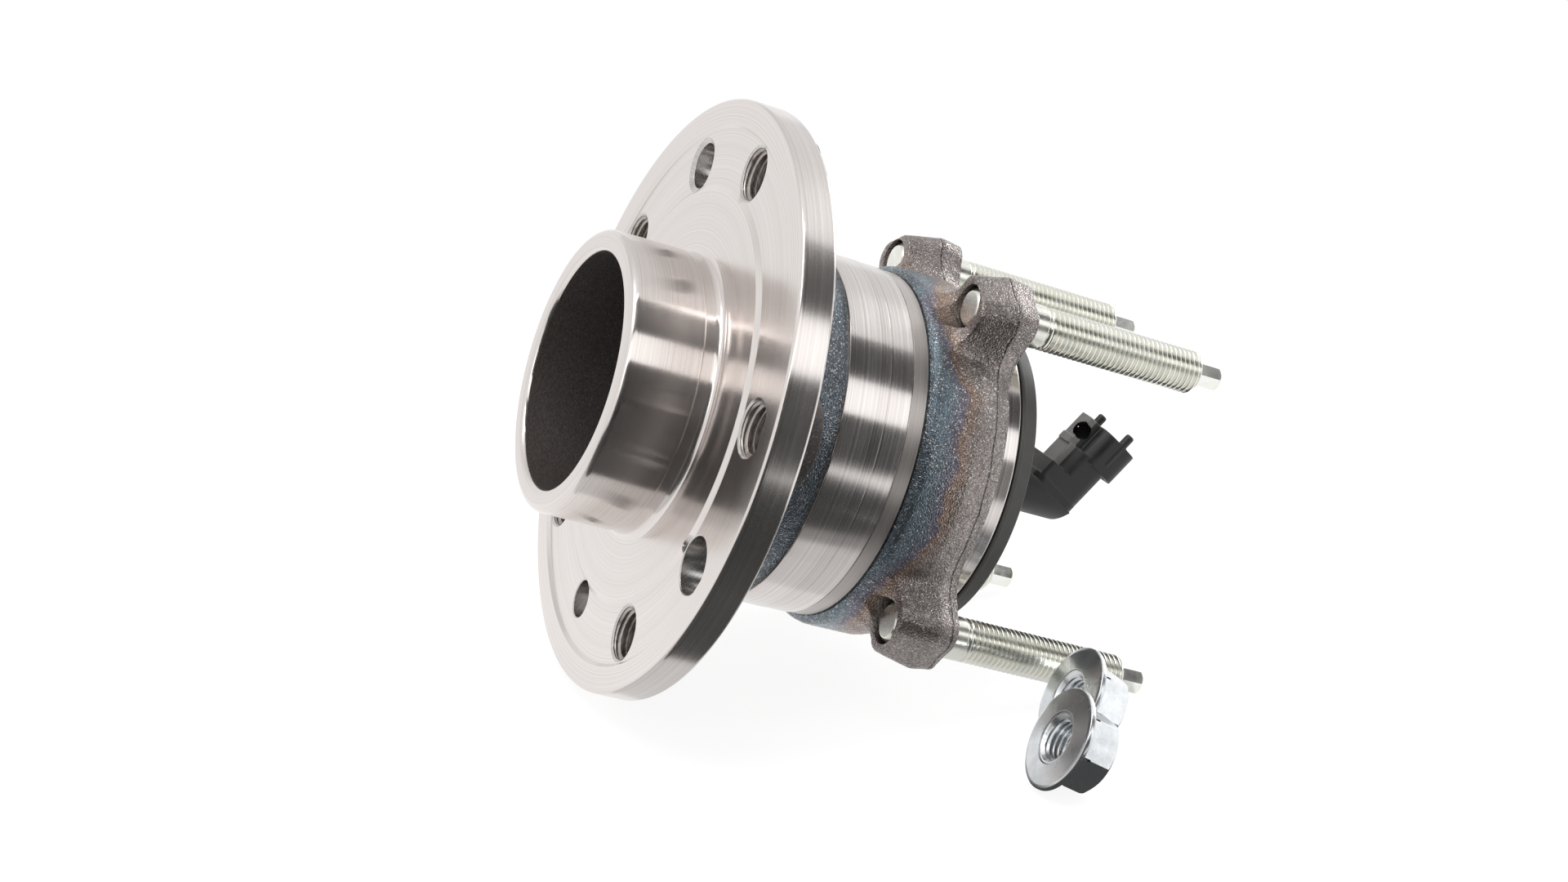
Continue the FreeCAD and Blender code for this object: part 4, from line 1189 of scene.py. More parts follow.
@dataclass
class HubFlange:
    """The turned hub: nose, flange with its holes and bosses, spindle and tapped threads."""

    finishes: Finishes
    nose_end: float = -21.8
    nose_r: float = 32.45
    cup_r: float = 27.2
    cup_depth: float = 25.0
    cup_draft_y: float = -8.0
    line_y: float = -4.4
    line_step: float = 0.35
    inner_face_r: float = 47.4
    bevel: float = 1.5
    countersink: float = 0.55
    relief: float = 0.75
    outer_face_r: float = 62.5
    rim_round: float = 0.9
    rim_y: float = 8.2
    back_r: float = 45.0
    root_r: float = 38.5
    root_y: float = 12.6
    land_r: float = 30.0
    land_end: float = 20.2
    shoulder_r: float = 25.2
    groove_r: float = 21.75
    outboard_y: float = 27.0
    race_start: float = 37.5
    seat_r: float = 18.0
    race_end: float = 57.0
    end_r: float = 21.6
    end_y: float = 60.5
    recess_r: float = 11.0
    recess_floor_r: float = 9.0
    recess_depth: float = 6.0
    ball_r: float = 6.0
    pitch_r: float = 27.75
    bolt_circle_r: float = 55.0
    bolt_first_deg: float = 8.4
    bolt_count: int = 5
    bolt_bore_r: float = 6.0
    bolt_mouth_r: float = 6.6
    boss_r: float = 10.5
    boss_y: float = 12.2
    boss_sink: float = 1.0
    thread_minor_r: float = 5.25
    thread_pitch: float = 1.5
    plain_holes: tuple[Hole, ...] = (
        Hole(bore_r=5.35, mouth_r=6.55, finish_r=6.5, circle_r=54.7, turn_deg=114.9),
        Hole(bore_r=6.4, mouth_r=6.7, finish_r=6.65, circle_r=54.7, turn_deg=-26.8),
        Hole(bore_r=4.35, mouth_r=4.65, finish_r=4.6, circle_r=52.8, turn_deg=-97.5))

    def flange_r(self) -> float:
        """The flange's radius, from the frame."""
        return node_span("hub", 0)[1]

    def outline(self) -> list[Corner]:
        """The hub's closed outline, from the cup's floor round to the spindle's end.

        Returns:
            The outline's corners.
        """
        rim = self.flange_r()
        floor = self.nose_end + self.cup_depth
        line = self.line_y
        corners = [(floor, 0.0, 0.0), (floor, self.cup_r - 0.9, 7.0)]
        corners += [(self.cup_draft_y, self.cup_r - 0.25, 0.0), (self.nose_end, self.cup_r, 1.3)]
        corners += [(self.nose_end, self.nose_r, 1.9), (line, self.nose_r, 0.1)]
        corners += [(line + self.line_step, self.nose_r - self.line_step, 0.1)]
        corners += [(0.0, self.nose_r - self.line_step, 4.0), (0.0, self.inner_face_r, 0.3)]
        corners += [(self.relief, self.inner_face_r + self.bevel, 0.3)]
        corners += [(self.relief, self.outer_face_r - self.relief, 0.2), (0.0, self.outer_face_r, 0.2)]
        corners += [(0.0, rim, self.rim_round), (self.rim_y, rim, self.rim_round)]
        corners += [(self.rim_y, self.back_r, 4.0)]
        corners += [(self.root_y, self.root_r, 1.5), (self.root_y, self.land_r, 1.0)]
        corners += [(self.land_end, self.land_r, 0.2), (self.land_end + 1.0, self.shoulder_r, 0.5)]
        lift = self.shoulder_r - self.pitch_r
        half = math.sqrt(self.ball_r ** 2 - lift ** 2)
        start_deg = math.degrees(math.atan2(lift, -half))
        corners += arc_points((self.outboard_y, self.pitch_r), self.ball_r, start_deg + 360, 270, 6)
        corners += [(self.race_start, self.groove_r, 0.0), (self.race_start, self.seat_r, 0.0)]
        corners += [(self.race_end, self.seat_r, 0.0), (self.race_end, self.end_r, 0.3)]
        floor = self.end_y - self.recess_depth
        corners += [(self.end_y, self.end_r, 1.6), (self.end_y, self.recess_r, 0.6)]
        corners += [(floor, self.recess_floor_r, 1.0), (floor, 0.0, 0.0)]
        return corners

    def bolt_holes(self) -> list[Hole]:
        """The threaded holes for the wheel bolts.

        Returns:
            One hole for each bolt.
        """
        turns = [self.bolt_first_deg + index * 360.0 / self.bolt_count for index in range(self.bolt_count)]
        return [Hole(self.bolt_bore_r, self.bolt_mouth_r, self.bolt_mouth_r, self.bolt_circle_r, turn_deg)
                for turn_deg in turns]

    def hole_tool(self, hole: Hole) -> bpy.types.Object:
        """Shapes the tool for one hole, with a countersunk mouth on both sides.

        Args:
            hole: the hole.

        Returns:
            The tool, in place.
        """
        front, back, radius = self.relief, self.boss_y, hole.bore_r
        step = hole.mouth_r - radius
        corners = [(-1.0, 0.0, 0.0), (-1.0, hole.mouth_r + 1.0 + front, 0.0), (front, hole.mouth_r, 0.1)]
        corners += [(front + self.countersink * step, radius, 0.15), (back - 0.5, radius, 0.1)]
        corners += [(back + 1.0, radius + 1.5, 0.0), (back + 1.0, 0.0, 0.0)]
        return lathe("hole_tool", corners, 56, hole.place())

    def bosses(self) -> bpy.types.Object:
        """Shapes the bosses round the bolt holes, which the rim cuts off.

        Returns:
            The bosses as one piece.
        """
        start = self.rim_y - self.boss_sink
        corners = [(start, 0.0, 0.0), (start, self.boss_r + 1.2, 0.0)]
        corners += [(self.boss_y, self.boss_r, 0.8), (self.boss_y, 0.0, 0.0)]
        bosses = [lathe("boss", corners, 64, hole.place()) for hole in self.bolt_holes()]
        limit_r = self.flange_r() - self.rim_round
        limit = lathe("boss_limit", bar_outline(limit_r, 0.0, self.boss_y + 1.0), 240)
        return work_on(joined("bosses", bosses), limit, Cut.KEEP_SHARED)

    def build(self) -> None:
        """Builds and dresses the hub and its threads."""
        hub = lathe("hub_body", self.outline(), 240)
        work_on(hub, self.bosses(), Cut.ADD)
        tools = [self.hole_tool(hole) for hole in (*self.bolt_holes(), *self.plain_holes)]
        work_on(hub, joined("hole_tools", tools), Cut.REMOVE)
        shade(hub)
        materials = (self.finishes.face, self.finishes.cup, self.finishes.bore, self.finishes.nose,
                     self.finishes.rim)
        dress(hub, materials, Body.HUB, ("hub",))
        self.mark_regions(hub)
        self.threads()

    def threads(self) -> None:
        """Builds and dresses the thread of each bolt hole."""
        start = self.relief + self.bolt_mouth_r - self.bolt_bore_r
        thread = Thread(self.thread_minor_r, self.bolt_bore_r - 0.04, self.thread_pitch, start,
                        self.boss_y - 0.5)
        for number, hole in enumerate(self.bolt_holes(), 1):
            work = carried(thread.tapped(self.bolt_bore_r), hole.place())
            piece = shade(new_piece(f"wheel_bolt_thread_{number}", work), 50.0)
            dress(piece, (self.finishes.thread,), Body.HUB)

    def mark_regions(self, hub: bpy.types.Object) -> None:
        """Gives the cup, the bosses, the holes, the nose and the rim their own finish.

        Args:
            hub: the hub, whose materials are in the order of HubSkin.
        """
        rim = self.flange_r()
        holes = (*self.bolt_holes(), *self.plain_holes)
        cup_start, cup_end = self.nose_end + 0.8, self.nose_end + self.cup_depth + 0.1
        for polygon in hub.data.polygons:
            middle = polygon.center / SCALE
            radius = math.hypot(middle.x, middle.z)
            in_cup = radius < self.cup_r + 0.1 and cup_start < middle.y < cup_end
            behind = middle.y > self.rim_y + 0.1 and self.land_r + 1.0 < radius < rim - 1.0
            corners = [hub.data.vertices[index].co / SCALE for index in polygon.vertices]
            in_hole = any(hole.holds(middle, corners) for hole in holes)
            on_side = abs(polygon.normal.y) < 0.5 and not in_cup
            on_nose = on_side and radius < self.nose_r + 1
            on_rim = on_side and radius > rim - 1
            regions = ((in_hole, HubSkin.HOLE), (in_cup or behind, HubSkin.RAW), (on_nose, HubSkin.NOSE),
                       (on_rim, HubSkin.RIM))
            skin = next((skin for inside, skin in regions if inside), HubSkin.FACE)
            polygon.material_index = skin.value


@dataclass
class Housing:
    """The forged housing: raw front band, ground register, forged ears, axle face and pilot."""

    finishes: Finishes
    front_y: float = 14.2
    front_r: float = 39.4
    band_r: float = 40.3
    register_y: float = 26.4
    register_r: float = 41.1
    step_y: float = 36.6
    groove_y: float = 42.15
    groove_width: float = 0.42
    groove_depth: float = 0.55
    ring_r: float = 40.75
    forging_y: float = 46.5
    ear_y: float = 54.15
    axle_y: float = 68.0
    pilot_r: float = 37.1
    pilot_end: float = 72.4
    bore_r: float = 33.8
    seal_seat_r: float = 35.4
    seal_seat_end: float = 20.4
    core_r: float = 36.0
    shoulder_r: float = 30.2
    ball_r: float = 6.0
    pitch_r: float = 27.75
    outboard_y: float = 27.0
    inboard_y: float = 47.0
    stud_hole_r: float = 5.22
    stud_hole_start: float = 50.0
    stud_fill_r: float = 5.6
    voxel: float = 0.42
    smoothing: int = 4
    broad_grain: float = 0.16
    broad_depth: float = 0.10
    fine_grain: float = 0.9
    fine_depth: float = 0.045
    band_rows: int = 28

    def build(self) -> None:
        """Builds and dresses the housing's pieces."""
        self.forged_body()
        self.front_band()
        self.register()
        self.raceway_sleeve()
        self.pilot()

    def forged_body(self) -> None:
        """The forged part with its four ears, softened and grained like a real forging."""
        work = work_from([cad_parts["outer_ring"].data])
        bmesh.ops.remove_doubles(work, verts=work.verts, dist=0.0005)
        for vert in work.verts:
            if vert.co.y > self.axle_y - 0.3 and math.hypot(vert.co.x, vert.co.z) > self.pilot_r + 0.3:
                vert.co.y = self.axle_y + 2.0
        take_in(work, lathe_work(bar_outline(self.core_r + 1.0, self.front_y, self.pilot_end), 96))
        for place in Studs.places():
            fill = bar_outline(self.stud_fill_r, self.ear_y, self.axle_y + 1.0)
            take_in(work, lathe_work(fill, 48, place))
        rough = soften(new_piece("forged_body", work), self.voxel, self.smoothing)
        work = work_from([rough.data])
        bpy.data.objects.remove(rough)
        self.roughen(work)
        trim(work, (0, self.forging_y, 0), (0, -1, 0))
        trim(work, (0, self.axle_y, 0), (0, 1, 0))
        body = new_piece("forged_body", work)
        tools = [lathe("bore", bar_outline(self.core_r, self.forging_y - 1, self.axle_y + 1), 128)]
        for place in Studs.places():
            hole = bar_outline(self.stud_hole_r, self.stud_hole_start, self.axle_y + 1)
            tools.append(lathe("stud_hole", hole, 48, place))
        work_on(body, joined("tools", tools), Cut.REMOVE)
        shade(body, 38.0)
        dress(body, (self.finishes.forged, self.finishes.ground), Body.HOUSING,
              ("outer_ring",))
        for polygon in body.data.polygons:
            if polygon.center.y > (self.axle_y - 0.01) * SCALE:
                polygon.material_index = 1

    def roughen(self, work: bmesh.types.BMesh) -> None:
        """Raises and sinks a forged skin unevenly.

        Args:
            work: the skin's mesh in millimetres.
        """
        work.normal_update()
        moves = []
        for vert in work.verts:
            broad = noise.fractal(vert.co * self.broad_grain, 1.0, 2.0, 3)
            fine = noise.fractal(vert.co * self.fine_grain, 0.9, 2.1, 3)
            moves.append(vert.normal * (self.broad_depth * broad + self.fine_depth * fine))
        for vert, move in zip(work.verts, moves):
            vert.co += move

    def front_band(self) -> None:
        """The raw forged band beside the flange, slightly uneven."""
        corners = [(self.front_y, self.seal_seat_r + 0.4, 0.2), (self.front_y, self.front_r, 0.8)]
        for row in range(1, self.band_rows):
            share = row / self.band_rows
            station = self.front_y + 1.0 + share * (self.register_y - self.front_y - 1.0)
            corners.append((station, self.front_r + share * (self.band_r - self.front_r), 0.0))
        back = self.register_y + 0.3
        corners += [(back, self.band_r, 0.0), (back, self.core_r + 1.0, 0.0)]
        corners += [(self.seal_seat_end, self.core_r + 1.0, 0.0)]
        corners += [(self.seal_seat_end, self.seal_seat_r, 0.0)]
        work = lathe_work(corners, 288)
        for vert in work.verts:
            radius = math.hypot(vert.co.x, vert.co.z)
            if radius > self.front_r - 1.0 and vert.co.y > self.front_y + 0.5:
                uneven = 0.07 * noise.fractal(vert.co * 0.35, 1.0, 2.0, 4) - 0.03
                vert.co.x *= 1 + uneven / radius
                vert.co.z *= 1 + uneven / radius
        dress(shade(new_piece("front_band", work)), (self.finishes.forged,), Body.HOUSING,
              ("outer_ring",))

    def register(self) -> None:
        """The ground register with its tool step, groove and narrow ring."""
        groove_end = self.groove_y + self.groove_width
        floor = self.ring_r - self.groove_depth
        lip, seat = self.forging_y - 0.35, self.forging_y + 0.2
        corners = [(self.register_y, self.core_r + 0.5, 0.0), (self.register_y, self.register_r, 0.25)]
        corners += [(self.step_y, self.register_r, 0.06), (self.step_y + 0.1, self.register_r - 0.12, 0.06)]
        corners += [(self.groove_y, self.register_r - 0.12, 0.04), (self.groove_y, floor, 0.0)]
        corners += [(groove_end, floor, 0.0), (groove_end, self.ring_r, 0.06)]
        corners += [(lip, self.ring_r, 0.1), (lip, self.ring_r - 0.6, 0.0)]
        corners += [(seat, self.ring_r - 0.6, 0.0), (seat, self.core_r + 0.5, 0.0)]
        piece = shade(lathe("ground_register", corners, 288))
        materials = (self.finishes.ground, self.finishes.land)
        dress(piece, materials, Body.HOUSING, ("outer_ring",))
        for polygon in piece.data.polygons:
            polygon.material_index = int(polygon.center.y > (groove_end + 0.1) * SCALE)

    def raceway_sleeve(self) -> None:
        """The inside of the housing: seal seat, both raceways and the bore for the cap."""
        lift = self.shoulder_r - self.pitch_r
        half = math.sqrt(self.ball_r ** 2 - lift ** 2)
        edge_deg = math.degrees(math.atan2(lift, half))
        top = self.pitch_r + self.ball_r
        corners = [(self.front_y + 0.1, self.seal_seat_r + 0.5, 0.0)]
        corners += [(self.front_y + 0.5, self.seal_seat_r, 0.0)]
        corners += [(self.seal_seat_end, self.seal_seat_r, 0.0), (self.seal_seat_end, top, 0.2)]
        corners += arc_points((self.outboard_y, self.pitch_r), self.ball_r, 90.0, edge_deg, 6)
        corners += arc_points((self.inboard_y, self.pitch_r), self.ball_r, 180.0 - edge_deg, 90.0, 6)
        corners += [(self.pilot_end - 0.3, top, 0.2), (self.pilot_end - 0.3, self.core_r + 0.8, 0.0)]
        corners += [(self.front_y + 0.1, self.core_r + 0.8, 0.0)]
        dress(shade(lathe("raceway_sleeve", corners, 192)), (self.finishes.race,), Body.HOUSING,
              ("outer_ring",))

    def pilot(self) -> None:
        """The turned pilot that centres the unit in the axle."""
        corners = [(self.axle_y - 0.5, self.bore_r + 1.5, 0.0), (self.axle_y - 0.5, self.pilot_r, 0.0)]
        corners += [(self.pilot_end, self.pilot_r, 0.5), (self.pilot_end, self.bore_r, 0.4)]
        inner_end = self.pilot_end - 2.0
        corners += [(inner_end, self.bore_r, 0.0), (inner_end, self.bore_r + 1.5, 0.0)]
        dress(shade(lathe("axle_pilot", corners, 240)), (self.finishes.ground,), Body.HOUSING,
              ("outer_ring",))


@dataclass
class Studs:
    """The four axle studs: round head end, collar, rolled thread and hexagon tip."""

    finishes: Finishes
    head_y: float = 54.35
    head_r: float = 4.6
    shank_r: float = 5.0
    collar_end: float = 66.5
    collar_step: float = 0.15
    thread_start: float = 73.7
    thread_end: float = 114.5
    pitch: float = 1.25
    minor_r: float = 4.3
    tip_flats: float = 5.1
    tip_end: float = 121.0
    tip_turn_deg: float = 11.0
    dimple_r: float = 1.6

    @staticmethod
    def places() -> list[Place]:
        """The x and z of each stud, from the frame."""
        return [node_middle(node) for node in Studs.nodes()]

    @staticmethod
    def nodes() -> list[str]:
        """The frame nodes of the studs."""
        return ["stud_upper_left", "stud_upper_right", "stud_lower_left", "stud_lower_right"]

    def shank_outline(self) -> list[Corner]:
        """The stud from its head to the collar where the thread starts.

        Returns:
            The closed outline.
        """
        head, shank_r, start = self.head_y, self.shank_r, self.thread_start
        collar_r = shank_r + self.collar_step
        return [(head + 0.12, 0.0, 0.0), (head, self.head_r - 1.2, 0.1), (head, self.head_r - 0.9, 0.2),
                (head + 0.9, self.head_r, 0.25), (head + 2.6, self.head_r, 0.2),
                (head + 3.2, collar_r, 0.1), (self.collar_end, collar_r, 0.1),
                (self.collar_end + 0.3, shank_r, 0.1), (start - 1.1, shank_r, 0.15),
                (start - 0.75, shank_r - 0.35, 0.1), (start - 0.35, shank_r - 0.3, 0.1),
                (start + 0.02, shank_r, 0.1), (start + 0.02, 0.0, 0.0)]

    def tip(self, place: Place) -> bpy.types.Object:
        """The hexagon drive tip with its domed and dimpled end.

        Args:
            place: the stud's x and z.

        Returns:
            The tip, in place.
        """
        dome = self.tip_flats / math.sqrt(3)
        foot = self.thread_end - 2.0
        bar = hexagon_work(self.tip_flats, self.thread_end - 1.5, self.tip_end, self.tip_turn_deg)
        tip = new_piece("tip", carried(bar, place))
        limit = lathe("limit", [
            (foot, 0.0, 0.0), (foot, dome + 0.1, 0.0), (self.tip_end - 0.9, dome + 0.1, 0.0),
            (self.tip_end, dome - 0.75, 0.15), (self.tip_end, self.dimple_r, 0.2),
            (self.tip_end - 0.6, 0.0, 0.0)], 48, place)
        return work_on(tip, limit, Cut.KEEP_SHARED)

    def build(self) -> None:
        """Builds and dresses the studs."""
        thread = Thread(self.minor_r, self.shank_r, self.pitch, self.thread_start, self.thread_end)
        for node, place in zip(self.nodes(), self.places()):
            shank = lathe("shank", self.shank_outline(), 64, place)
            turned = new_piece("turned", carried(thread.raised(1.1), place))
            stud = joined("axle_" + node, [shank, turned, self.tip(place)])
            dress(shade(stud, 40.0), (self.finishes.yellow,), Body.HOUSING, (node,))


@dataclass
class SensorCap:
    """The black cap with its rim, ribs and moulded connector."""

    finishes: Finishes
    front_y: float = 72.9
    rim_r: float = 36.9
    rim_back_r: float = 36.2
    rim_y: float = 77.1
    floor_y: float = 74.6
    wall: float = 2.6
    spigot_r: float = 33.7
    spigot_y: float = 64.4
    groove_y: float = 69.6
    groove_half: float = 1.05
    groove_r: float = 31.7
    hub_r: float = 11.5
    hub_end: float = 80.1
    tower_r: float = 7.5
    tower_z: float = 2.75
    rib_count: int = 12
    rib_width: float = 1.6
    rib_drop: float = 0.3
    rib_foot: float = 0.5
    rib_round: float = 0.25
    split_y: float = 77.2
    voxel: float = 0.2
    smoothing: int = 2

    def build(self) -> None:
        """Builds and dresses the cap's pieces."""
        self.shell()
        self.connector()

    def shell(self) -> None:
        """The round shell with its spigot, O-ring groove, floor and ribs."""
        inner = self.spigot_r - self.wall
        lip = self.rim_back_r - self.wall
        low, high = self.groove_y - self.groove_half, self.groove_y + self.groove_half
        shell = lathe("cap_shell", [
            (self.floor_y - self.wall, 0.0, 0.0), (self.floor_y - self.wall, inner, 0.5),
            (self.spigot_y, inner, 0.2), (self.spigot_y, self.spigot_r, 0.4), (low, self.spigot_r, 0.15),
            (low, self.groove_r, 0.2), (high, self.groove_r, 0.2), (high, self.spigot_r, 0.15),
            (self.front_y, self.spigot_r, 0.0), (self.front_y, self.rim_r, 0.35),
            (self.front_y + 0.9, self.rim_r, 0.1), (self.front_y + 1.1, self.rim_r - 0.12, 0.1),
            (self.rim_y, self.rim_back_r, 0.5), (self.rim_y, lip, 0.35), (self.floor_y, lip, 0.5),
            (self.floor_y, 0.0, 0.0)], 256)
        parts = [shell]
        length = lip + self.rib_foot
        height = self.rim_y - self.floor_y - self.rib_drop + self.rib_foot
        middle = (length / 2, self.floor_y - self.rib_foot + height / 2, 0)
        for index in range(self.rib_count):
            work = cuboid_work((length, height, self.rib_width), middle)
            bmesh.ops.bevel(work, geom=work.edges[:], offset=self.rib_round, segments=3, profile=0.5,
                            affect="EDGES")
            turn = Matrix.Rotation(math.radians(index * 360.0 / self.rib_count), 4, "Y")
            bmesh.ops.transform(work, matrix=turn, verts=work.verts)
            parts.append(new_piece("rib", work))
        parts.append(lathe("boss", [
            (self.floor_y - 0.5, 0.0, 0.0), (self.floor_y - 0.5, self.hub_r, 0.0),
            (self.hub_end, self.tower_r + 0.02, 0.6), (self.hub_end, 0.0, 0.0)], 96, (0.0, self.tower_z)))
        dress(shade(joined("cap_shell", parts)), (self.finishes.textured,), Body.HOUSING,
              ("sensor_cap",))

    def connector(self) -> None:
        """The tower of the frame's cap and a connector on it, with the soft corners of a moulding."""
        work = work_from([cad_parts["sensor_cap"].data])
        bmesh.ops.remove_doubles(work, verts=work.verts, dist=0.0005)
        connector = Connector()
        above = connector.placement() @ Vector((0.0, 0.0, connector.seat_s))
        rising = connector.placement() @ Vector((0.0, 0.0, 1.0))
        beside = connector.placement() @ Vector((0.0, connector.tower_u, 0.0))
        for point, outward in (((0, self.split_y, 0), (0, -1, 0)), (above, rising), (beside, beside)):
            trim(work, point, outward)
        piece = joined("connector_moulding", [new_piece("tower", work), connector.build()])
        soften(piece, self.voxel, self.smoothing)
        materials = (self.finishes.plastic, self.finishes.lock, self.finishes.pit)
        dress(shade(piece, 60.0), materials, Body.HOUSING, ("sensor_cap",))
        back = connector.placement().inverted()
        for polygon in piece.data.polygons:
            point = back @ (polygon.center / SCALE)
            polygon.material_index = 2 if connector.in_eye(point) else int(connector.on_lock(point))


@dataclass(frozen=True)
class Block:
    """A block of the connector: half its width, its limits along u and s, and its uprights' rounding."""

    half: float
    low_u: float
    high_u: float
    low_s: float
    high_s: float
    rounding: float


@dataclass
class Connector:
    """The sensor's connector in its own frame: x across, u away from the wheel, s along its axis."""

    tilt_deg: float = 62.9
    seat_s: float = 47.5
    tower_u: float = 95.0
    collar: Block = Block(6.3, 81.5, 95.7, 47.2, 49.4, 2.4)
    barrel: Block = Block(6.0, 85.4, 96.1, 49.5, 60.0, 3.0)
    back: Block = Block(6.0, 82.2, 92.0, 46.5, 53.5, 0.6)
    post: Block = Block(3.4, 83.8, 92.0, 53.0, 59.6, 0.3)
    mouth: Block = Block(6.5, 87.3, 98.5, 59.1, 67.6, 3.2)
    latch: Block = Block(2.6, 83.4, 90.0, 59.4, 67.4, 0.4)
    latch_foot: Block = Block(2.75, 83.1, 90.0, 59.1, 61.1, 0.4)
    socket: Block = Block(4.9, 88.7, 97.1, 58.6, 70.0, 2.0)
    eye_r: float = 1.95
    eye_s: float = 63.6
    eye_depth: float = 4.6
    eye_way: tuple[float, float, float] = (0.75, -0.66, 0.0)
    eye_turn_deg: float = 15.0
    lock_half: float = 3.6
    lock_end_u: float = 85.3
    lock_start_s: float = 53.6
    peg_r: float = 1.12
    peg_x: float = 5.5
    peg_end: float = 70.7
    peg_start: float = 61.5
    peg_u: tuple[float, float] = (90.2, 93.1)

    def placement(self) -> Matrix:
        """Turns the connector's frame into the object's axes."""
        rise, run = math.sin(math.radians(self.tilt_deg)), math.cos(math.radians(self.tilt_deg))
        return Matrix(((1, 0, 0), (0, rise, run), (0, -run, rise)))

    def place(self, name: str, work: bmesh.types.BMesh) -> bpy.types.Object:
        """A piece from a mesh in the connector's frame."""
        bmesh.ops.transform(work, matrix=self.placement().to_4x4(), verts=work.verts)
        return new_piece(name, work)

    def block(self, name: str, block: Block) -> bpy.types.Object:
        """Shapes a block with rounded uprights.

        Args:
            name: the piece's name.
            block: its sizes.

        Returns:
            The piece, in place.
        """
        size = (2 * block.half, block.high_u - block.low_u, block.high_s - block.low_s)
        middle = (0, (block.low_u + block.high_u) / 2, (block.low_s + block.high_s) / 2)
        work = cuboid_work(size, middle)
        uprights = [edge for edge in work.edges if abs(edge.verts[0].co.z - edge.verts[1].co.z) > 0.1]
        bmesh.ops.bevel(work, geom=uprights, offset=block.rounding, segments=8, profile=0.5, affect="EDGES")
        return self.place(name, work)

    def on_lock(self, point: Vector) -> bool:
        """Whether a point of the connector is on the paler latch and its post."""
        return abs(point.x) < self.lock_half and point.y < self.lock_end_u and point.z > self.lock_start_s

    def peg(self, side: int, place_u: float) -> bpy.types.Object:
        """Shapes a round guide peg with a domed end.

        Args:
            side: the side of the mouth, -1 or 1.
            place_u: its place along u.

        Returns:
            The peg, in place.
        """
        length = self.peg_end - self.peg_start
        outline = [(0.0, 0.0, 0.0), (0.0, self.peg_r, 0.0), (length, self.peg_r, 0.75), (length, 0.0, 0.0)]
        work = lathe_work(outline, 32)
        bmesh.ops.rotate(work, matrix=Matrix.Rotation(math.radians(90), 3, "X"), verts=work.verts)
        bmesh.ops.translate(work, vec=(side * self.peg_x, place_u, self.peg_start), verts=work.verts)
        return self.place("peg", work)

    def eye_mouth(self) -> Vector:
        """The middle of the eye, at the latch's near corner."""
        return Vector((self.latch.half - 0.4, self.latch.low_u + 0.5, self.eye_s))

    def eye(self) -> bpy.types.Object:
        """Shapes the tool for the latch's six-sided eye, which opens at the latch's near corner.

        Returns:
            The tool, in place.
        """
        work = hexagon_work(2 * self.eye_r, -self.eye_depth, 4.0, self.eye_turn_deg)
        turn = Vector((0, 1, 0)).rotation_difference(Vector(self.eye_way)).to_matrix().to_4x4()
        bmesh.ops.transform(work, matrix=turn, verts=work.verts)
        bmesh.ops.translate(work, vec=self.eye_mouth(), verts=work.verts)
        return self.place("eye", work)

    def in_eye(self, point: Vector) -> bool:
        """Whether a point of the connector lies inside the eye.

        Args:
            point: the point, in the connector's frame.

        Returns:
            True if it does.
        """
        away = point - self.eye_mouth()
        depth = away.dot(Vector(self.eye_way).normalized())
        aside = (away - Vector(self.eye_way).normalized() * depth).length
        return aside < 1.13 * self.eye_r and depth < -0.15

    def build(self) -> bpy.types.Object:
        """Builds the connector as one closed piece.

        Returns:
            The connector, in place.
        """
        shapes = {"barrel": self.barrel, "back": self.back, "post": self.post, "mouth": self.mouth,
                  "latch": self.latch, "latch_foot": self.latch_foot}
        body = self.block("collar", self.collar)
        for name, block in shapes.items():
            work_on(body, self.block(name, block), Cut.ADD)
        work_on(body, self.block("socket", self.socket), Cut.REMOVE)
        work_on(body, self.eye(), Cut.REMOVE)
        for side, place_u in zip((-1, 1), self.peg_u):
            work_on(body, self.peg(side, place_u), Cut.ADD)
        return body


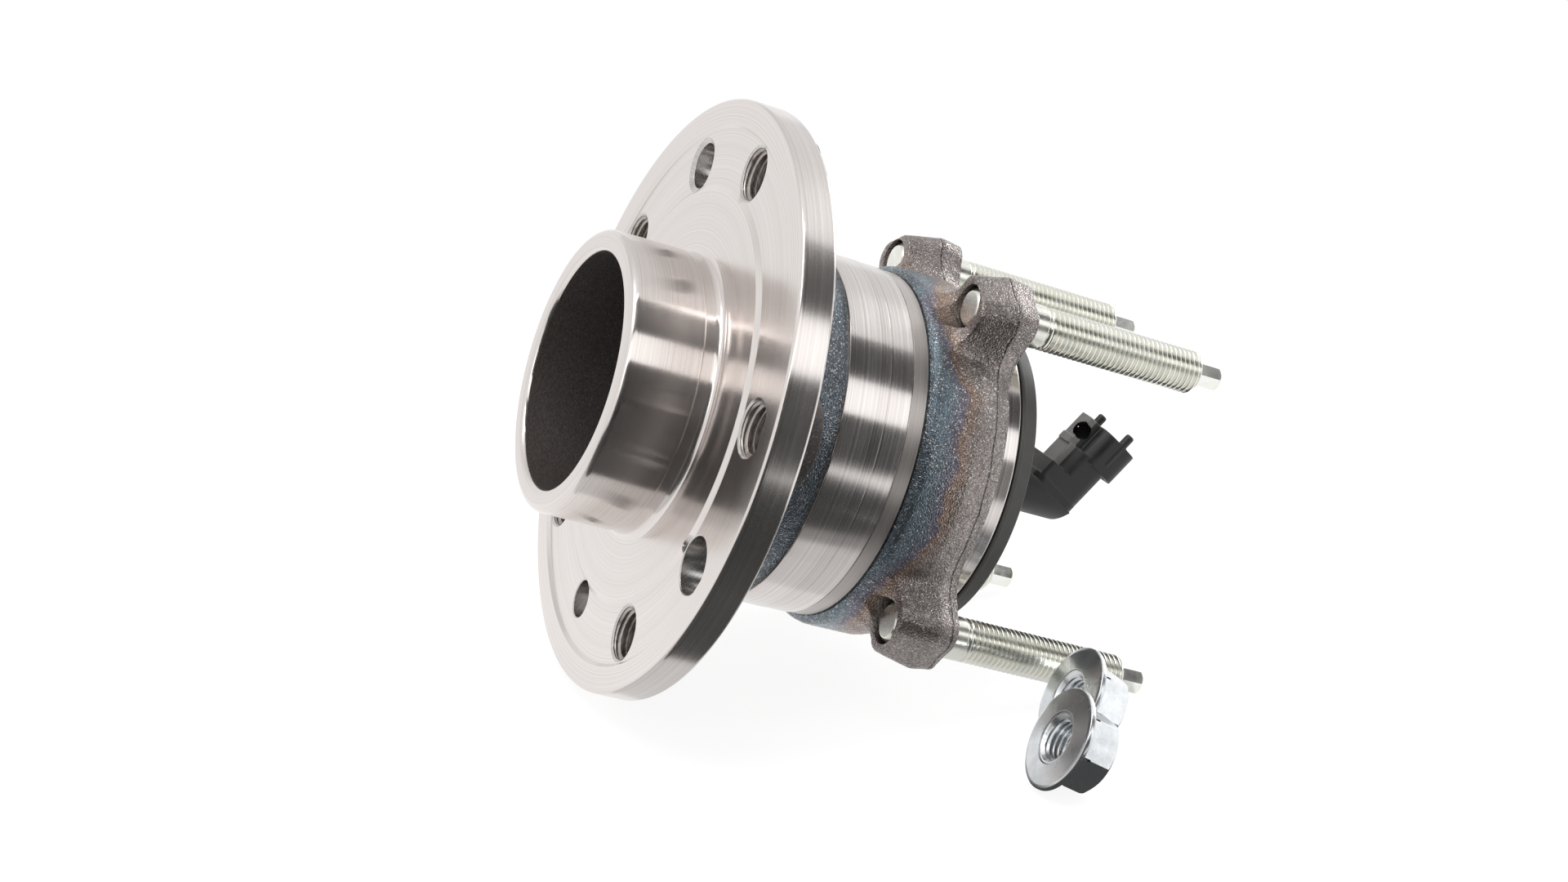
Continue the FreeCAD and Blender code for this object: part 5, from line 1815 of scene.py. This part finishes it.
@dataclass
class Nuts:
    """The two loose flange nuts with their captive washers."""

    finishes: Finishes
    flats: float = 16.0
    height: float = 8.4
    washer_thick: float = 2.2
    washer_r: float = 11.6
    collar_r: float = 5.6
    lip_r: float = 6.0
    lip_start: float = 0.2
    lip_thick: float = 0.5
    edge_round: float = 0.18
    slit_width: float = 0.5
    slit_depth: float = 0.8
    slit_length: float = 2.6
    bore_r: float = 5.0
    minor_r: float = 4.32
    pitch: float = 1.25
    axis: tuple[float, float, float] = (-0.045, -0.983, 0.179)
    gap: float = 0.08

    def placement(self, washer_node: str) -> Matrix:
        """Where a nut lies, with its own -Y turned to the nut's axis.

        Args:
            washer_node: the frame node of its washer, whose middle places it.

        Returns:
            The placement, in metres.
        """
        low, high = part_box(washer_node)
        axis = Vector(self.axis).normalized()
        middle = (low + high) / 2
        turn = Vector((0, -1, 0)).rotation_difference(axis).to_matrix().to_4x4()
        own = turn @ Vector((0, self.washer_thick / 2 * SCALE, 0))
        return Matrix.Translation(middle - own) @ turn

    def nut(self) -> bpy.types.Object:
        """Shapes one nut in its own frame, with the washer side at y = 0 towards -Y.

        Returns:
            The nut with its thread.
        """
        top = self.washer_thick + self.height
        corner = self.flats / math.sqrt(3)
        body = new_piece("nut", hexagon_work(self.flats, self.washer_thick, top))
        limit = lathe("limit", [
            (self.washer_thick, 0.0, 0.0), (self.washer_thick, corner - 0.25, 0.0),
            (self.washer_thick + 0.25, corner + 0.01, 0.0), (top - 1.0, corner + 0.01, 0.0),
            (top, self.flats / 2 - 0.1, 0.2), (top, 0.0, 0.0)], 96)
        work_on(body, limit, Cut.KEEP_SHARED)
        soft = body.modifiers.new("soft_edges", "BEVEL")
        soft.width = self.edge_round * SCALE
        soft.segments = 3
        soft.limit_method = "ANGLE"
        soft.angle_limit = math.radians(28)
        settle(body)
        work_on(body, self.slits(corner), Cut.REMOVE)
        front = self.lip_start
        lip_end = front + self.lip_thick
        collar = lathe("collar", [
            (front, 0.0, 0.0), (front, self.lip_r, 0.15), (lip_end, self.lip_r, 0.15),
            (lip_end, self.collar_r, 0.0), (self.washer_thick + 1.0, self.collar_r, 0.0),
            (self.washer_thick + 1.0, 0.0, 0.0)], 96)
        work_on(body, collar, Cut.ADD)
        bore = lathe("bore", [
            (-1.0, 0.0, 0.0), (-1.0, self.bore_r + 1.7, 0.0), (front + 0.45, self.bore_r, 0.08),
            (top - 0.45, self.bore_r, 0.08), (top + 1.0, self.bore_r + 1.45, 0.0),
            (top + 1.0, 0.0, 0.0)], 96)
        work_on(body, bore, Cut.REMOVE)
        thread = Thread(self.minor_r, self.bore_r - 0.03, self.pitch, front + 0.45, top - 0.45)
        tapped = new_piece("tapped", thread.tapped(self.bore_r))
        return joined("nut", [body, tapped])

    def slits(self, corner: float) -> bpy.types.Object:
        """Shapes the tool for the short slits at the hexagon's corners, beside the washer.

        Args:
            corner: the radius of the hexagon's corners.

        Returns:
            The tool.
        """
        tools = []
        size = (2 * self.slit_depth, 2 * self.slit_length, self.slit_width)
        for index in range(6):
            work = cuboid_work(size, (corner, self.washer_thick, 0))
            turn = Matrix.Rotation(math.radians(index * 60.0), 4, "Y")
            bmesh.ops.transform(work, matrix=turn, verts=work.verts)
            tools.append(new_piece("slit", work))
        return joined("slits", tools)

    def washer(self) -> bpy.types.Object:
        """Shapes one washer in its own frame, with a slightly coned face and a softly rolled rim.

        Returns:
            The washer.
        """
        back, rim = self.washer_thick - self.gap, self.washer_r
        over_lip, over_collar = self.lip_r + self.gap, self.collar_r + self.gap
        return lathe("washer", [
            (0.0, over_lip, 0.1), (0.42, rim - 0.9, 0.4), (0.6, rim - 0.2, 0.2), (0.9, rim, 0.3),
            (back - 0.5, rim, 0.4), (back, rim - 0.6, 0.3), (back, over_collar, 0.1),
            (0.8, over_collar, 0.0), (0.8, over_lip, 0.0)], 144)

    def build(self) -> None:
        """Builds and dresses both nuts and both washers."""
        for number, body in ((1, Body.WASHER_1), (2, Body.WASHER_2)):
            place = self.placement(f"nut_{number}_washer")
            nut = self.nut()
            nut.name = f"flange_nut_{number}"
            nut.data.transform(place)
            washer = self.washer()
            washer.name = f"captive_washer_{number}"
            washer.data.transform(place)
            finish = (self.finishes.white,)
            dress(shade(nut, 35.0), finish, Body.HOUSING, (f"nut_{number}",))
            dress(shade(washer), finish, body, (f"nut_{number}_washer",))


@dataclass
class InnerParts:
    """The bearing's inner pieces, which the frame holds at full detail."""

    finishes: Finishes

    def build(self) -> None:
        """Dresses the frame nodes that stay."""
        chosen = {
            "inner_race": self.finishes.race, "seal_slinger": self.finishes.pressed,
            "encoder_carrier": self.finishes.pressed, "encoder_ring": self.finishes.magnet,
            "outboard_balls": self.finishes.race, "inboard_balls": self.finishes.race,
            "outboard_cage": self.finishes.cage, "inboard_cage": self.finishes.cage,
            "seal_case": self.finishes.pressed, "seal_lips": self.finishes.rubber,
            "cap_o_ring": self.finishes.rubber, "sensor_element": self.finishes.plastic,
            "connector_pin_left": self.finishes.contact, "connector_pin_right": self.finishes.contact,
        }
        for node, material in chosen.items():
            dress_node(node, material)


def hang_card(card: bpy.types.Object, level: float) -> None:
    """Makes a mesh a card that only reflections see.

    Args:
        card: the mesh.
        level: how bright it shines, where 1 is white.
    """
    material = bpy.data.materials.new(card.name)
    material.use_nodes = True
    material.node_tree.nodes.clear()
    graph = Graph(material.node_tree)
    light = graph.add("ShaderNodeEmission", {0: grey(1.0), 1: level})
    end = graph.add("ShaderNodeOutputMaterial")
    graph.feed(light.outputs[0], end, "Surface")
    card.data.materials.append(material)
    card.visible_camera = False
    card.visible_diffuse = False
    card.visible_transmission = False
    card.visible_shadow = False


@dataclass
class BenchCard:
    """Card that lies on the bench beside the object, between two distances from it."""

    name: str
    near: float
    far: float
    level: float
    lift: float
    along: tuple[float, float]

    def build(self, normal: Vector, drop: float) -> None:
        """Builds the card just above the bench.

        Args:
            normal: the bench's upward normal.
            drop: how far the bench lies below the object's origin.
        """
        along = normal.cross(Vector((1, 0, 0))).normalized()
        across = along.cross(normal).normalized()
        foot = normal * (self.lift - drop)
        work = bmesh.new()
        ring = []
        start, end = self.along
        for reach, side in ((self.near, start), (self.far, start), (self.far, end), (self.near, end)):
            ring.append(work.verts.new(foot + across * reach + along * side))
        work.faces.new(ring)
        hang_card(new_piece(self.name, work), self.level)


@dataclass
class Card:
    """Studio card that only reflections see, placed by the direction it is seen in."""

    name: str
    turn_deg: float
    half_width_deg: float
    along: tuple[float, float]
    level: float
    distance: float = 900.0
    steps: int = 12

    def build(self) -> None:
        """Builds the card as a curved strip round the Y axis."""
        work = bmesh.new()
        rows = []
        for along in self.along:
            row = []
            for step in range(self.steps + 1):
                share = 2 * step / self.steps - 1
                x, z = polar(self.distance, self.turn_deg + self.half_width_deg * share)
                row.append(work.verts.new((x, along * self.distance, z)))
            rows.append(row)
        for step in range(self.steps):
            work.faces.new((rows[0][step], rows[0][step + 1], rows[1][step + 1], rows[1][step]))
        hang_card(new_piece(self.name, work), self.level)


@dataclass
class Studio:
    """White bench, lamps, cards and camera."""

    bench_normal: tuple[float, float, float] = (0.0, -0.305, 0.952)
    bench_drop: float = 68.4
    bench_size: float = 420.0
    bench_middle: tuple[float, float, float] = (20.0, 30.0, 0.0)
    bench_grey: float = 0.8
    bench_glow: float = 0.9
    bench_paint: float = 0.12
    world_diffuse: float = 0.62
    lamp_distance: float = 1.1
    lens_mm: float = 66.04
    camera_place: tuple[float, float, float] = (593.3, -230.9, 110.2)
    camera_right: tuple[float, float, float] = (0.331, 0.886, 0.326)
    camera_back: tuple[float, float, float] = (0.900, -0.400, 0.172)

    def build(self) -> None:
        """Builds the whole studio."""
        self.world()
        self.bench()
        self.lamp("key", (0.1, -0.5, 0.9), size=0.9, power=9.0)
        self.lamp("fill", (0.75, -0.6, 0.25), size=0.8, power=3.0)
        self.lamp("top", (-0.35, 0.55, 0.76), size=0.9, power=9.0)
        self.cards()
        self.bench_cards()
        self.camera()

    def cards(self) -> None:
        """Hangs the cards that give turned steel its bands, round the axis."""
        whole = (-1.1, 1.1)
        for card in (
                Card("dark_side", turn_deg=-3.0, half_width_deg=31.0, along=(-1.1, 0.82), level=0.03,
                     distance=330.0),
                Card("dark_strip", turn_deg=65.5, half_width_deg=14.5, along=whole, level=0.06),
                Card("bright_strip", turn_deg=39.5, half_width_deg=11.5, along=whole, level=1.45),
                Card("grey_top", turn_deg=118.0, half_width_deg=36.0, along=whole, level=0.82)):
            card.build()

    def bench_cards(self) -> None:
        """Lays the cards that darken the bench beside the object, in reflections alone."""
        normal = Vector(self.bench_normal).normalized()
        wide, narrow = (-700.0, 105.0), (-700.0, 98.0)
        for card in (
                BenchCard("grey_bench", near=22.0, far=62.0, level=0.74, lift=0.6, along=wide),
                BenchCard("dim_bench", near=62.0, far=76.0, level=0.3, lift=0.6, along=wide),
                BenchCard("nose_bench", near=50.0, far=90.0, level=0.08, lift=0.9, along=(-700.0, 20.0)),
                BenchCard("dark_near_bench", near=76.0, far=115.0, level=0.07, lift=0.6, along=narrow),
                BenchCard("dark_far_bench", near=115.0, far=900.0, level=0.06, lift=0.6, along=narrow)):
            card.build(normal, self.bench_drop)

    @staticmethod
    def seen_white(graph: Graph) -> Socket:
        """A mask of what the camera sees, in itself, in gloss or through glass.

        Args:
            graph: the material's or the world's graph.

        Returns:
            1 for such rays and 0 for the rest.
        """
        path = graph.add("ShaderNodeLightPath")
        seen = graph.math("MAXIMUM", path.outputs["Is Camera Ray"], path.outputs["Is Glossy Ray"])
        return graph.math("MAXIMUM", seen, path.outputs["Is Transmission Ray"])

    def world(self) -> None:
        """White surroundings for the camera and for reflections, and a plainer light on surfaces."""
        world = bpy.data.worlds.new("studio")
        bpy.context.scene.world = world
        world.use_nodes = True
        world.node_tree.nodes.clear()
        graph = Graph(world.node_tree)
        level = graph.spread(self.seen_white(graph), 0.0, 1.0, self.world_diffuse, 1.0)
        back = graph.add("ShaderNodeBackground", {0: grey(1.0), 1: level})
        graph.feed(back.outputs[0], graph.add("ShaderNodeOutputWorld"), "Surface")

    def bench(self) -> None:
        """The pale bench that the flange and the nuts rest on, seen only from above."""
        normal = Vector(self.bench_normal).normalized()
        work = bmesh.new()
        bmesh.ops.create_circle(work, cap_ends=True, radius=self.bench_size, segments=96)
        turn = Vector((0, 0, 1)).rotation_difference(normal).to_matrix().to_4x4()
        aside = Vector(self.bench_middle)
        middle = normal * -self.bench_drop + aside - normal * normal.dot(aside)
        bmesh.ops.transform(work, matrix=Matrix.Translation(middle) @ turn, verts=work.verts)
        bench = new_piece("bench", work)
        material = bpy.data.materials.new("bench")
        material.use_nodes = True
        material.node_tree.nodes.clear()
        graph = Graph(material.node_tree)
        white = graph.add("ShaderNodeEmission", {0: grey(1.0), 1: self.bench_glow}).outputs[0]
        paint = graph.add("ShaderNodeBsdfDiffuse", {0: grey(self.bench_paint)}).outputs[0]
        shown = graph.add("ShaderNodeAddShader", {0: white, 1: paint}).outputs[0]
        plain = graph.add("ShaderNodeBsdfDiffuse", {0: grey(self.bench_grey)}).outputs[0]
        top = graph.add("ShaderNodeMixShader", {0: self.seen_white(graph), 1: plain, 2: shown}).outputs[0]
        below = graph.add("ShaderNodeNewGeometry").outputs["Backfacing"]
        through = graph.add("ShaderNodeBsdfTransparent").outputs[0]
        whole = graph.add("ShaderNodeMixShader", {0: below, 1: top, 2: through}).outputs[0]
        graph.feed(whole, graph.add("ShaderNodeOutputMaterial"), "Surface")
        bench.data.materials.append(material)

    def lamp(self, name: str, way: tuple[float, float, float], size: float, power: float) -> None:
        """Adds a soft area lamp that looks at the object.

        Args:
            name: the lamp's name.
            way: the direction that it stands in.
            size: its width in metres.
            power: its power in watts.
        """
        light = bpy.data.lights.new(name, "AREA")
        light.shape = "DISK"
        light.size = size
        light.energy = power
        lamp = bpy.data.objects.new(name, light)
        away = Vector(way).normalized()
        lamp.location = away * self.lamp_distance
        lamp.rotation_euler = away.to_track_quat("Z", "Y").to_euler()
        bpy.context.scene.collection.objects.link(lamp)

    def camera(self) -> None:
        """The camera at the photograph's viewing angle."""
        back = Vector(self.camera_back).normalized()
        right = Vector(self.camera_right)
        right = (right - back * right.dot(back)).normalized()
        up = back.cross(right)
        data = bpy.data.cameras.new("camera")
        data.lens = self.lens_mm
        data.sensor_width = 36.0
        data.clip_start = 0.01
        camera = bpy.data.objects.new("camera", data)
        turn = Matrix((right, up, back)).transposed().to_4x4()
        camera.matrix_world = Matrix.Translation(Vector(self.camera_place) * SCALE) @ turn
        bpy.context.scene.collection.objects.link(camera)
        bpy.context.scene.camera = camera


def main() -> None:
    """Builds every sub-assembly in order."""
    logging.basicConfig(level=logging.INFO, format="%(name)s: %(message)s")
    bpy.context.scene.view_settings.view_transform = "Standard"
    finishes = Finishes()
    Studio().build()
    HubFlange(finishes).build()
    Housing(finishes).build()
    Studs(finishes).build()
    SensorCap(finishes).build()
    Nuts(finishes).build()
    InnerParts(finishes).build()


if __name__ == "__main__":
    main()
